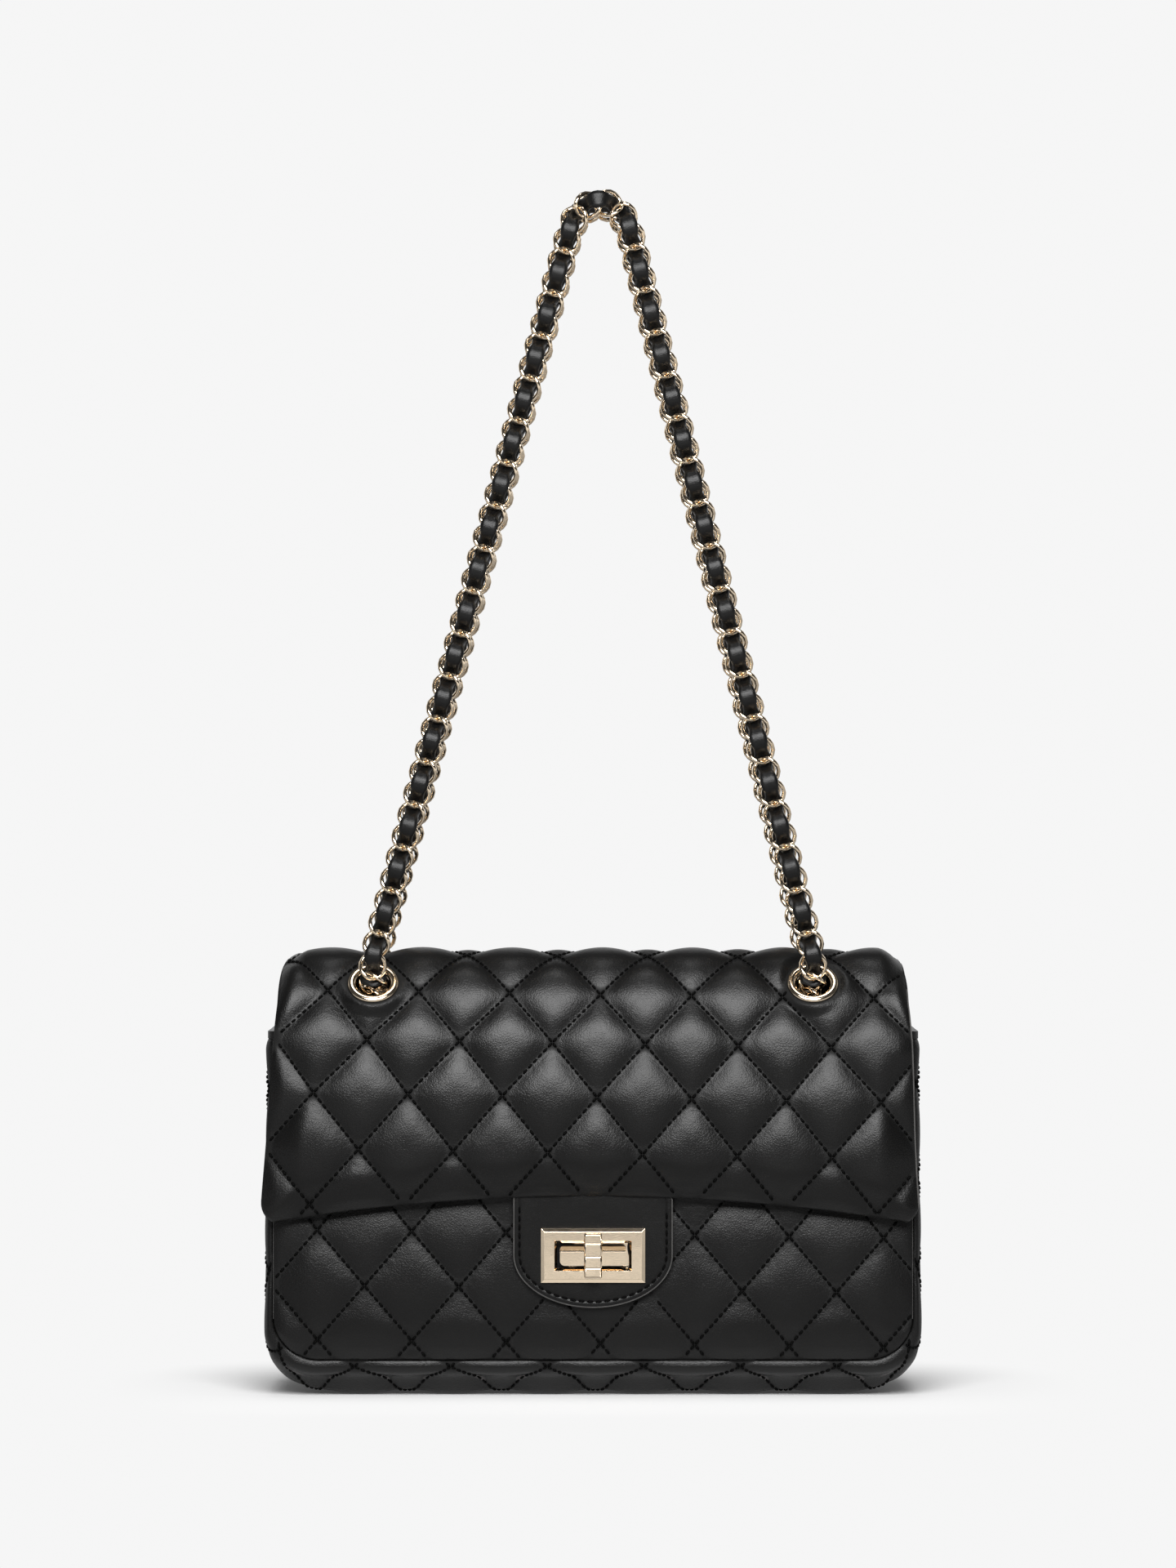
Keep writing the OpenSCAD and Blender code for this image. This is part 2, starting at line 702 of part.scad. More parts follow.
// Links k0 to k1 of a strap, drawn upright from its root
module strap_run(k0, k1) {
    color(gold) for (k = [k0 : k1])
        translate([link_mid(k)[0], 0, link_mid(k)[1]]) rotate([0, link_dir(k), 0]) link(tilt_of(k));
}

module strap_lace() {
    first = lace_first;
    last = strap_links - 2 - lace_first;
    count = last - first + 1;
    sides = len(lace_ring(first));
    points = [for (k = [first : last]) each lace_ring(k)];
    start_cap = [for (i = [1 : sides - 2]) [0, i, i + 1]];
    end = (count - 1) * sides;
    end_cap = [for (i = [1 : sides - 2]) [end, end + i + 1, end + i]];
    walls = [for (k = [0 : count - 2], i = [0 : sides - 1])
        let (a = k * sides + i, b = k * sides + (i + 1) % sides)
        each [[a, a + sides, b], [b, a + sides, b + sides]]];
    color(leather) polyhedron(points = points, faces = concat(start_cap, end_cap, walls));
}

// The first and last link of the run that bends over the apex
apex_first = floor((left_len - link_r) / strap_step) - 1;
apex_last = strap_links - 1 - (floor((right_len - link_r) / strap_step) - 1);

module at_front_strap() {
    translate([0, front_root[0], front_root[1]]) rotate([-front_lean, 0, 0]) children();
}

module at_rear_strap() {
    translate([0, rear_root[0], rear_root[1]]) rotate([rear_lean, 0, 0]) children();
}

module front_strap_links_left() { at_front_strap() strap_run(0, apex_first - 1); }
module front_strap_links_apex() { at_front_strap() strap_run(apex_first, apex_last); }
module front_strap_links_right() { at_front_strap() strap_run(apex_last + 1, strap_links - 1); }
module front_strap_lace() { at_front_strap() strap_lace(); }
module rear_strap_links_left() { at_rear_strap() strap_run(0, apex_first - 1); }
module rear_strap_links_apex() { at_rear_strap() strap_run(apex_first, apex_last); }
module rear_strap_links_right() { at_rear_strap() strap_run(apex_last + 1, strap_links - 1); }
module rear_strap_lace() { at_rear_strap() strap_lace(); }

module inner_chain(side) {
    color(gold) for (k = [0 : run_links - 1])
        translate([side * eyelet_x, run_point(run_s(k))[0], run_point(run_s(k))[1]])
            rotate([run_turn(run_s(k)) - 90, 0, 0]) link(run_tilts[k]);
}

module inner_chain_left() { inner_chain(-1); }
module inner_chain_right() { inner_chain(1); }

// Side view of the flap between the depths o and o + t
module flap_side(o, t) {
    difference() {
        union() {
            intersection() {
                translate([rear_y, rear_z]) difference() {
                    circle(r = rear_arch_r - o);
                    circle(r = rear_arch_r - o - t);
                }
                translate([rear_y, rear_z]) square([far, far]);
                translate([rear_y, rear_z]) rotate(90 - fold_turn) square([far, far]);
            }
            translate([arch_y, crest_h - o - t]) square([rear_y - arch_y, t]);
            intersection() {
                translate([arch_y, arch_z]) difference() {
                    circle(r = front_arch_r - o);
                    circle(r = front_arch_r - o - t);
                }
                translate([arch_y - far, arch_z]) square([far, far]);
            }
            translate([flap_front_y + o, 0]) square([t, arch_z]);
        }
        translate([fold_y, fold_z]) circle(r = fold_r);
    }
}

// Front outline of the flap, with its arched hem and round tips
module flap_outline() {
    tip_z = tip_h + tip_r;
    tip_x = flap_tip_w / 2 - tip_r;
    difference() {
        union() {
            top_outline(flap_top_w, flap_tip_w, tip_z);
            for (side = [-1, 1]) translate([side * tip_x, tip_z]) circle(r = tip_r);
            translate([-tip_x, tip_h]) square([2 * tip_x, tip_z - tip_h]);
        }
        translate([0, hem_h - hem_r]) circle(r = hem_r, $fn = 256);
    }
}

module flap_layer(o, t) {
    difference() {
        intersection() {
            along(far) flap_side(o, t);
            across(-far, far) flap_outline();
        }
        for (side = [-1, 1])
            at_eyelet(side * eyelet_x, front_eyelet, eyelet_turn)
                cylinder(r = hole_r + barrel_t + slit, h = far / 4, center = true);
    }
}

module tail_cut(grow) {
    w = tab_w + 2 * grow;
    translate([-w / 2, flap_front_y + flap_leather_t, 0])
        cube([w, wadding_t, hem_h + tab_tail_h + grow]);
}

module flap_leather() {
    cols = ceil((flap_tip_w / 2 + 2) / (quilt_w / 4 * flap_top_w / flap_tip_w));
    color(leather) difference() {
        intersection() {
            union() {
                along(far) flap_side(flap_ground, flap_leather_t - flap_ground);
                quilt_slab(flap_rows, cols, flap_ground + slab_sunk, -groove_in, 0);
            }
            across(-far, far) flap_outline();
        }
        along(far) translate([fold_y, fold_z]) circle(r = fold_r);
        for (side = [-1, 1])
            at_eyelet(side * eyelet_x, front_eyelet, eyelet_turn)
                cylinder(r = hole_r + barrel_t + slit, h = far / 4, center = true);
        eyelet_seats(front_eyelet, eyelet_turn);
    }
}

module flap_wadding() {
    color(lining_tone) difference() {
        flap_layer(flap_leather_t, wadding_t);
        tail_cut(slit);
    }
}

module flap_lining() { color(lining_tone) flap_layer(flap_leather_t + wadding_t, flap_lining_t); }

module flap_fold() {
    color(leather) translate([-flap_top_w / 2, fold_y, fold_z]) rotate([0, 90, 0])
        cylinder(r = fold_r, h = flap_top_w);
}

module tab_tail() {
    color(leather) intersection() {
        tail_cut(0);
        across(-far, far) flap_outline();
    }
}

// Front outline of the tab: straight sides and an elliptical lower end
module tab_outline() {
    round_z = tab_low + tab_round_h;
    side_share = tab_w / 2 / tab_round_h;
    steps = 48;
    polygon(concat(
        [[tab_w / 2, hem_h], [-tab_w / 2, hem_h]],
        [for (i = [0 : steps])
            let (a = 180 + 180 * i / steps)
            [tab_round_h * side_share * cos(a), round_z + tab_round_h * sin(a)]]));
}

// The tab hangs from the hem, where its sewn-in tail goes on
module lock_tab() {
    color(leather) difference() {
        across(tab_front_y, tab_back_y) intersection() {
            tab_outline();
            translate([0, hem_h - hem_r]) circle(r = hem_r - slit, $fn = 256);
        }
        translate([0, 0, lock_h]) cube([window_w, far, window_h], center = true);
        frame_rivet_holes();
    }
}

module rivet_places() {
    x = (frame_w + window_w) / 4;
    for (side = [-1, 1]) translate([side * x, 0, lock_h]) rotate([90, 0, 0]) children();
}

module frame_rivet_holes() {
    rivet_places() cylinder(r = rivet_r + slit, h = far, center = true);
}

// Frame plate with sloping outer and inner edges
module lock_frame() {
    slope = frame_t / 2;
    color(gold) difference() {
        union() {
            across(tab_front_y - frame_t / 2, tab_front_y)
                translate([0, lock_h]) square([frame_w, frame_h], center = true);
            hull() {
                across(tab_front_y - frame_t / 2 - slit, tab_front_y - frame_t / 2)
                    translate([0, lock_h]) square([frame_w, frame_h], center = true);
                across(frame_front_y, frame_front_y + slit)
                    translate([0, lock_h]) square([frame_w - 2 * slope, frame_h - 2 * slope], center = true);
            }
        }
        translate([0, 0, lock_h]) cube([window_w, far, window_h], center = true);
    }
}

module lock_frame_back() {
    color(gold) difference() {
        across(tab_back_y, frame_back_y)
            translate([0, lock_h]) square([frame_w, frame_h], center = true);
        translate([0, 0, lock_h]) cube([window_w, far, window_h], center = true);
        frame_rivet_holes();
    }
}

module lock_frame_rivets() {
    color(gold) translate([0, frame_back_y, 0]) rivet_places()
        cylinder(r = rivet_r, h = tab_t + frame_back_t);
}

// Holes for the knob's post and the prongs, through the front wall
module lock_holes(t) {
    translate([0, 0, lock_h]) rotate([90, 0, 0])
        cylinder(r = post_r + run_gap, h = far, center = true);
    for (side = [-1, 1])
        translate([side * boss_w / 2, front_y, lock_h])
            cube([prong_t + 2 * slit, 2 * (t + slit), prong_w + 2 * slit], center = true);
}

module lock_base_plate() {
    color(gold) difference() {
        union() {
            across(front_y - base_plate_t, front_y)
                translate([0, lock_h]) soft_rect(base_plate_w, base_plate_h, post_r);
            across(boss_y, front_y - base_plate_t)
                translate([0, lock_h]) soft_rect(boss_w, boss_h, post_r);
        }
        translate([0, 0, lock_h]) rotate([90, 0, 0]) cylinder(r = post_r + run_gap, h = far, center = true);
    }
}

module lock_prongs() {
    deep = cavity_in + clamp_t;
    color(gold) for (side = [-1, 1])
        translate([side * boss_w / 2 - prong_t / 2, front_y, lock_h - prong_w / 2])
            cube([prong_t, deep, prong_w]);
}

module lock_clamp_plate() {
    color(gold) difference() {
        across(clamp_y, clamp_y + clamp_t)
            translate([0, lock_h]) soft_rect(base_plate_w, base_plate_h, post_r);
        translate([0, 0, lock_h]) rotate([90, 0, 0]) cylinder(r = post_r + run_gap, h = far, center = true);
        for (side = [-1, 1])
            translate([side * boss_w / 2, clamp_y + clamp_t / 2, lock_h])
                cube([prong_t + 2 * slit, far, prong_w + 2 * slit], center = true);
    }
}

// Bar with round ends and three grooves across it
module knob_bar() {
    groove_z = knob_l / 4;
    color(gold) difference() {
        across(knob_back_y - knob_t, knob_back_y)
            translate([0, lock_h]) soft_rect(knob_w, knob_l, knob_w / 3);
        for (k = [-1 : 1])
            translate([0, knob_back_y - knob_t, lock_h + k * groove_z]) rotate([0, 90, 0])
                cylinder(r = groove_w / 2, h = 2 * knob_w, center = true);
    }
}

module knob_post() {
    spring_y = clamp_y + clamp_t + clamp_gap + spring_t;
    color(gold) rotate([90, 0, 0]) translate([0, lock_h, -spring_y - cap_t]) {
        cylinder(r = cap_r, h = cap_t);
        cylinder(r = post_r, h = spring_y + cap_t - knob_back_y);
    }
}

module knob_spring() {
    spring_y = clamp_y + clamp_t + clamp_gap / 2;
    color(gold) translate([0, spring_y, lock_h]) rotate([-90, 0, 0]) difference() {
        cylinder(r = cap_r + spring_t, h = spring_t);
        translate([0, 0, -slit]) cylinder(r = post_r + clamp_gap, h = spring_t + 2 * slit);
    }
}

gusset_band();
front_panel();
back_panel();
base_board();
front_board();
back_board();
body_lining();
mouth_binding();
zip_tape();
zip_teeth();
zip_slider();
zip_puller();
rear_eyelet_left();
rear_eyelet_right();
rear_washers();
rear_eyelet_links();
inner_chain_left();
inner_chain_right();
lock_base_plate();
lock_prongs();
lock_clamp_plate();
knob_bar();
knob_post();
knob_spring();
flap_leather();
flap_wadding();
flap_lining();
flap_fold();
front_eyelet_left();
front_eyelet_right();
front_washers();
front_eyelet_links();
tab_tail();
lock_tab();
lock_frame();
lock_frame_back();
lock_frame_rivets();
front_lead_links();
front_strap_links_left();
front_strap_links_apex();
front_strap_links_right();
front_strap_lace();
rear_strap_links_left();
rear_strap_links_apex();
rear_strap_links_right();
rear_strap_lace();
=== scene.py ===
import functools
import math

import bmesh
import bpy
import numpy as np
from mathutils import Matrix, Vector, noise


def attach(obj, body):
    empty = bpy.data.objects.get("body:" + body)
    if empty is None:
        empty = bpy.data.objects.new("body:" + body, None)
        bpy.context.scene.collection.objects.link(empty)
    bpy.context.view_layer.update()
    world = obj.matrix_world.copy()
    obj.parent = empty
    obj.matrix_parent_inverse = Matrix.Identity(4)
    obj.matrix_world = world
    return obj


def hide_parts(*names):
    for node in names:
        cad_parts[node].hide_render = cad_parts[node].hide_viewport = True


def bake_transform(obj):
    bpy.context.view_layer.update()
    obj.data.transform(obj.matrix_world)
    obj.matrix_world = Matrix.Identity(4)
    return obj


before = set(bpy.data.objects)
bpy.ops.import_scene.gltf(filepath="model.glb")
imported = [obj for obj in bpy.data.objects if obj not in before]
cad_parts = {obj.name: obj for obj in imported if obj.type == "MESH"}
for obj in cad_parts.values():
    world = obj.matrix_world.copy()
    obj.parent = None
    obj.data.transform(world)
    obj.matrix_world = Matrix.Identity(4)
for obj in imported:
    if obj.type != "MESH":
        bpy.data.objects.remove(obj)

bl_info = {
    "name": "Chain Shoulder Bag",
    "version": (1, 0, 0),
    "blender": (4, 5, 0),
    "location": "View3D > Sidebar > Shoulder Bag",
    "description": "Quilted leather, thread, chain and turn lock of a flap bag",
    "category": "Object",
}

# Body and flap, in millimetres, as the part's source has them; the padding draws the body's sides in a little
MM = 0.001
BODY_W, BODY_D, RIM = 250.6, 63.0, 136.0
FRONT_Y, BACK_Y = -BODY_D / 2, BODY_D / 2
CORNER_R, EDGE_R, UPRIGHT_R = 24.0, 12.0, 6.0
SEAM_IN, SEAM_UP, SEAM_R = 4.0, 14.5, 17.0
WALL, SHELL = 2.3, 3.78
CREST, ARCH_R, REAR_R = 166.0, 31.0, 28.0
FLAP_Y = -37.7
ARCH_Y, ARCH_Z = FLAP_Y + ARCH_R, CREST - ARCH_R
REAR_Y, REAR_Z = BACK_Y - REAR_R, CREST - REAR_R
FOLD_TURN = math.radians(17)
FLAP_TOP, FLAP_TIP = 117.5, 123.5
HEM_H, TIP_H, TIP_R, HEM_R = 77.0, 66.0, 9.0, 698.8

# Places along the side of the bag, from the ground in front, over the top and down the back
V_ARCH = ARCH_Z
V_CREST = V_ARCH + ARCH_R * math.pi / 2
V_REAR = V_CREST + REAR_Y - ARCH_Y
V_FOLD = V_REAR + REAR_R * FOLD_TURN
V_BACK = V_REAR + REAR_R * math.pi / 2

# Lock tab and turn lock
TAB_W, TAB_LOW, TAB_ROUND = 60.5, 34.5, 20.0
TAB_BACK, TAB_FRONT = -32.95, -35.75
LOCK_Z, FRAME_W, FRAME_H, FRAME_T = 54.5, 39.5, 20.6, 2.0
WINDOW_W, WINDOW_H = 27.2, 9.4
BASE_FRONT, BASE_H = -36.75, 7.8
KNOB_W, KNOB_L, KNOB_T, KNOB_Y = 6.7, 16.8, 3.5, -38.1
KNOB_RINGS = (5.0, 0.0, -4.4)

# Eyelets and chain
EYELET_X = 83.4
FRONT_EYELET, REAR_EYELET = (-28.62, 156.92), (23.30, 157.80)
HOLE_R, FLANGE_R, FLANGE_T, BARREL_T = 6.4, 9.75, 1.4, 0.8
LINK_R, LINK_HANG, LINK_STEP = 5.3, 3.15, 8.45
FRONT_LEAN, REAR_LEAN = math.radians(3.6), math.radians(-3.2)
STRAP_H, APEX_X, APEX_R = 289.5, 2.6, 11.0
STRAP_LINKS = 72
LEAD_PINS = ((-32.368, 160.668), (27.047, 161.547))
STRAP_ROOTS = ((-31.972, 166.956), (26.695, 167.837))
RUN_LINKS = 6
LACE_THICK, LACE_REACH, LACE_TAIL = 1.15, 3.0, 11.0


def length(name, default, description):
    return bpy.props.FloatProperty(name=name, default=default, description=description, unit="LENGTH")


def colour(name, default, description):
    return bpy.props.FloatVectorProperty(
        name=name, default=default, description=description, subtype="COLOR", size=3)


class BagSizes(bpy.types.PropertyGroup):
    quilt_width: length("Diamond width", 0.03575, "Width of one quilted diamond")
    quilt_height: length("Diamond height", 0.0424, "Height of one quilted diamond")
    pillow: length("Pillow height", 0.0027, "Rise of a diamond over its stitched grooves")
    groove: length("Groove depth", 0.0010, "Depth of the grooves below the leather's plain surface")
    stitch_radius: length("Thread radius", 0.00050, "Radius of the stitching thread")
    slope: bpy.props.FloatProperty(
        name="Row slope", description="Slope of the diamond rows down to the right",
        default=0.0178, min=0.0, max=0.05)
    bow: length("Flap bow", 0.0037, "Fullness of the padded flap over its flat front")
    link_half: length("Link half width", 0.0047, "Half width of a chain link at the middle of its wire")
    wire: length("Wire radius", 0.00085, "Radius of the chain's wire")
    lace_width: length("Lace width", 0.0068, "Width of the leather lace where it crosses the chain")


class BagColours(bpy.types.PropertyGroup):
    leather: colour("Leather", (0.0030, 0.0029, 0.0028), "Colour of the leather")
    # Lighter than the leather: the edges' own paint, and partly a painted highlight along the edges and the
    # lines that take it.
    edge: colour("Edge paint", (0.06, 0.058, 0.056), "Colour of the painted edges")
    metal: colour("Metal", (0.94, 0.78, 0.585), "Colour of the pale gold metal")
    lining: colour("Lining", (0.028, 0.024, 0.024), "Colour of the lining")
    board: colour("Board", (0.27, 0.20, 0.13), "Colour of the stiffening boards")
    floor: colour("Floor", (0.92, 0.92, 0.92), "Colour of the floor and background")


def sizes():
    return bpy.context.scene.bag_sizes


def colours():
    return bpy.context.scene.bag_colours


def smooth(t):
    t = np.clip(t, 0, 1)
    return t * t * (3 - 2 * t)


def put(obj, body, slot, *nodes):
    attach(obj, body)
    if nodes:
        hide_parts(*nodes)
    return obj


def new_mesh(name, verts, faces, materials):
    """A mesh object at the origin from points in millimetres."""
    mesh = bpy.data.meshes.new(name)
    mesh.from_pydata((np.asarray(verts, float) * MM).tolist(), [], [list(map(int, f)) for f in faces])
    for m in materials:
        mesh.materials.append(m)
    mesh.validate()
    obj = bpy.data.objects.new(name, mesh)
    bpy.context.scene.collection.objects.link(obj)
    mesh.shade_smooth()
    return obj


# Node groups and materials

def add(tree, kind, **values):
    made = tree.nodes.new(kind)
    for key, value in values.items():
        if hasattr(made, key) and key not in made.inputs:
            setattr(made, key, value)
        else:
            made.inputs[key].default_value = value
    return made


def math_node(tree, operation, a, b=None, c=None, clamp=False):
    made = add(tree, "ShaderNodeMath", operation=operation, use_clamp=clamp)
    for i, value in enumerate((a, b, c)):
        if value is None:
            continue
        if isinstance(value, (int, float)):
            made.inputs[i].default_value = value
        else:
            tree.links.new(value, made.inputs[i])
    return made.outputs[0]


def ramp(tree, value, start, end, low, high):
    """A soft step from low to high while a value goes from start to end."""
    made = add(tree, "ShaderNodeMapRange", interpolation_type="SMOOTHSTEP")
    for key, number in (("From Min", start), ("From Max", end), ("To Min", low), ("To Max", high)):
        made.inputs[key].default_value = number
    tree.links.new(value, made.inputs["Value"])
    return made.outputs["Result"]


def group(name, inputs, outputs):
    tree = bpy.data.node_groups.new(name, "ShaderNodeTree")
    for label, kind, default in inputs:
        socket = tree.interface.new_socket(label, in_out="INPUT", socket_type=kind)
        if default is not None:
            socket.default_value = default
    for label, kind in outputs:
        tree.interface.new_socket(label, in_out="OUTPUT", socket_type=kind)
    return tree, tree.nodes.new("NodeGroupInput"), tree.nodes.new("NodeGroupOutput")


def grain_group():
    """Fine leather grain: pebbles with creases between them, and slow changes of gloss."""
    tree, start, end = group(
        "Leather grain",
        [("Vector", "NodeSocketVector", None), ("Scale", "NodeSocketFloat", 1100.0)],
        [("Height", "NodeSocketFloat"), ("Gloss", "NodeSocketFloat")])
    warp = add(tree, "ShaderNodeTexNoise", Scale=420.0, Detail=2.0)
    tree.links.new(start.outputs["Vector"], warp.inputs["Vector"])
    mix = add(tree, "ShaderNodeVectorMath", operation="MULTIPLY_ADD")
    mix.inputs[1].default_value = (0.0012, 0.0012, 0.0012)
    tree.links.new(warp.outputs["Color"], mix.inputs[0])
    tree.links.new(start.outputs["Vector"], mix.inputs[2])
    cells = add(tree, "ShaderNodeTexVoronoi", feature="DISTANCE_TO_EDGE")
    tree.links.new(mix.outputs[0], cells.inputs["Vector"])
    tree.links.new(start.outputs["Scale"], cells.inputs["Scale"])
    pebble = ramp(tree, cells.outputs["Distance"], 0.0, 0.28, 0.0, 1.0)
    fine = add(tree, "ShaderNodeTexNoise", Scale=2600.0, Detail=3.0)
    tree.links.new(start.outputs["Vector"], fine.inputs["Vector"])
    height = math_node(tree, "MULTIPLY_ADD", fine.outputs["Fac"], 0.45,
                       math_node(tree, "MULTIPLY", pebble, 0.55))
    tree.links.new(height, end.inputs["Height"])
    slow = add(tree, "ShaderNodeTexNoise", Scale=38.0, Detail=3.0)
    tree.links.new(start.outputs["Vector"], slow.inputs["Vector"])
    tree.links.new(slow.outputs["Fac"], end.inputs["Gloss"])
    return tree


def scratch_group():
    """Faint handling marks on polished metal."""
    tree, start, end = group(
        "Handling marks", [("Vector", "NodeSocketVector", None)],
        [("Roughness", "NodeSocketFloat"), ("Height", "NodeSocketFloat"), ("Tone", "NodeSocketFloat")])
    slow = add(tree, "ShaderNodeTexNoise", Scale=260.0, Detail=4.0)
    tree.links.new(start.outputs["Vector"], slow.inputs["Vector"])
    stretch = add(tree, "ShaderNodeMapping")
    stretch.inputs["Rotation"].default_value = (0.3, 0.5, 0.9)
    stretch.inputs["Scale"].default_value = (1.0, 9.0, 9.0)
    tree.links.new(start.outputs["Vector"], stretch.inputs["Vector"])
    hairs = add(tree, "ShaderNodeTexNoise", Scale=700.0, Detail=2.0)
    tree.links.new(stretch.outputs["Vector"], hairs.inputs["Vector"])
    rough = math_node(tree, "MULTIPLY_ADD", slow.outputs["Fac"], 0.12,
                      math_node(tree, "MULTIPLY_ADD", hairs.outputs["Fac"], 0.06, 0.03))
    tree.links.new(rough, end.inputs["Roughness"])
    tree.links.new(hairs.outputs["Fac"], end.inputs["Height"])
    tree.links.new(slow.outputs["Fac"], end.inputs["Tone"])
    return tree


def weave_group():
    """Plain weave of fine yarn."""
    tree, start, end = group(
        "Fine weave", [("Vector", "NodeSocketVector", None), ("Scale", "NodeSocketFloat", 900.0)],
        [("Height", "NodeSocketFloat")])
    heights = []
    for direction in ("X", "Z"):
        wave = add(tree, "ShaderNodeTexWave", wave_type="BANDS", bands_direction=direction, Distortion=0.6)
        tree.links.new(start.outputs["Vector"], wave.inputs["Vector"])
        tree.links.new(start.outputs["Scale"], wave.inputs["Scale"])
        heights.append(wave.outputs["Fac"])
    tree.links.new(math_node(tree, "MAXIMUM", *heights), end.inputs["Height"])
    return tree


def material(name):
    mat = bpy.data.materials.new(f"bag_{name}")
    mat.use_nodes = True
    tree = mat.node_tree
    shader = tree.nodes["Principled BSDF"]
    where = add(tree, "ShaderNodeTexCoord")
    return mat, tree, shader, where.outputs["Object"]


def place_group(tree, name, vector, **values):
    made = tree.nodes.new("ShaderNodeGroup")
    made.node_tree = bpy.data.node_groups[name]
    tree.links.new(vector, made.inputs["Vector"])
    for key, value in values.items():
        made.inputs[key].default_value = value
    return made


def tint(tree, factor, low, high):
    made = add(tree, "ShaderNodeValToRGB")
    made.color_ramp.elements[0].color = (*low, 1)
    made.color_ramp.elements[1].color = (*high, 1)
    tree.links.new(factor, made.inputs["Fac"])
    return made.outputs["Color"]


def bump(tree, shader, height, strength, distance):
    made = add(tree, "ShaderNodeBump", Strength=strength, Distance=distance)
    tree.links.new(height, made.inputs["Height"])
    tree.links.new(made.outputs["Normal"], shader.inputs["Normal"])


def finish(tree, shader, colour_socket, roughness, specular=None):
    """Joins a colour and a roughness to the surface, and sets how strongly it mirrors."""
    tree.links.new(colour_socket, shader.inputs["Base Color"])
    tree.links.new(roughness, shader.inputs["Roughness"])
    if specular is not None:
        shader.inputs["Specular IOR Level"].default_value = specular


def scaled(rgb, k):
    return tuple(min(1.0, c * k) for c in rgb)


def quilted_leather():
    mat, tree, shader, vector = material("quilted_leather")
    base = colours().leather
    grain = place_group(tree, "Leather grain", vector, Scale=1000.0)
    crown = add(tree, "ShaderNodeAttribute", attribute_name="crown").outputs["Fac"]
    # Colour: the grain's slow tone, plus painted shade from the crown attribute: darker down in the grooves,
    # lighter on the pillows' crowns.
    tone = math_node(tree, "MULTIPLY_ADD", grain.outputs["Gloss"], 0.5,
                     math_node(tree, "MULTIPLY", crown, 0.6), clamp=True)
    rough = math_node(tree, "MULTIPLY_ADD", grain.outputs["Gloss"], 0.14,
                      math_node(tree, "MULTIPLY_ADD", crown, -0.06, 0.34))
    dull_groove = ramp(tree, crown, 0.0, 0.16, 0.4, 0.0)
    rough = math_node(tree, "ADD", rough, dull_groove, clamp=True)
    finish(tree, shader, tint(tree, tone, scaled(base, 0.55), scaled(base, 1.35)), rough, 0.34)
    crease = add(tree, "ShaderNodeTexNoise", Scale=150.0, Detail=4.0, Roughness=0.62)
    tree.links.new(vector, crease.inputs["Vector"])
    near_groove = math_node(tree, "MULTIPLY_ADD", crown, -3.4, 4.0)
    folds = math_node(tree, "MULTIPLY", crease.outputs["Fac"], near_groove)
    bump(tree, shader, math_node(tree, "MULTIPLY_ADD", grain.outputs["Height"], 0.42, folds), 1.0, 0.0001)
    return mat


def smooth_leather():
    mat, tree, shader, vector = material("smooth_leather")
    base = colours().leather
    grain = place_group(tree, "Leather grain", vector, Scale=1300.0)
    gloss = grain.outputs["Gloss"]
    finish(tree, shader, tint(tree, gloss, scaled(base, 0.8), scaled(base, 1.5)),
           math_node(tree, "MULTIPLY_ADD", gloss, 0.16, 0.28), 0.3)
    bump(tree, shader, grain.outputs["Height"], 1.0, 0.00004)
    return mat


def edge_paint_and_highlight():
    # Edge paint, lighter than the leather: the painted edges' own colour, and partly a painted highlight
    # along them.
    mat, tree, shader, vector = material("edge_paint_and_highlight")
    base = colours().edge
    wear = add(tree, "ShaderNodeTexNoise", Scale=210.0, Detail=4.0)
    tree.links.new(vector, wear.inputs["Vector"])
    worn = wear.outputs["Fac"]
    finish(tree, shader, tint(tree, worn, scaled(base, 0.6), scaled(base, 1.7)),
           math_node(tree, "MULTIPLY_ADD", worn, 0.2, 0.28))
    bump(tree, shader, worn, 0.2, 0.0002)
    return mat


def thread():
    mat, tree, shader, vector = material("thread")
    base = colours().leather
    twist = add(tree, "ShaderNodeTexWave", wave_type="BANDS", bands_direction="DIAGONAL",
                Scale=1900.0, Distortion=0.4)
    tree.links.new(vector, twist.inputs["Vector"])
    yarn = twist.outputs["Fac"]
    finish(tree, shader, tint(tree, yarn, scaled(base, 0.2), scaled(base, 0.6)),
           math_node(tree, "MULTIPLY_ADD", yarn, 0.15, 0.5), 0.07)
    bump(tree, shader, yarn, 0.4, 0.0001)
    return mat


def pale_gold():
    mat, tree, shader, vector = material("pale_gold")
    base = colours().metal
    marks = place_group(tree, "Handling marks", vector)
    finish(tree, shader, tint(tree, marks.outputs["Tone"], scaled(base, 0.93), scaled(base, 1.05)),
           marks.outputs["Roughness"])
    shader.inputs["Metallic"].default_value = 1.0
    bump(tree, shader, marks.outputs["Height"], 0.05, 0.0001)
    return mat


def lining_cloth():
    mat, tree, shader, vector = material("lining_cloth")
    base = colours().lining
    weave = place_group(tree, "Fine weave", vector, Scale=700.0)
    patch = add(tree, "ShaderNodeTexNoise", Scale=45.0, Detail=3.0)
    tree.links.new(vector, patch.inputs["Vector"])
    finish(tree, shader, tint(tree, patch.outputs["Fac"], scaled(base, 0.75), scaled(base, 1.35)),
           math_node(tree, "MULTIPLY_ADD", weave.outputs["Height"], 0.12, 0.62))
    shader.inputs["Sheen Weight"].default_value = 0.2
    bump(tree, shader, weave.outputs["Height"], 0.3, 0.0002)
    return mat


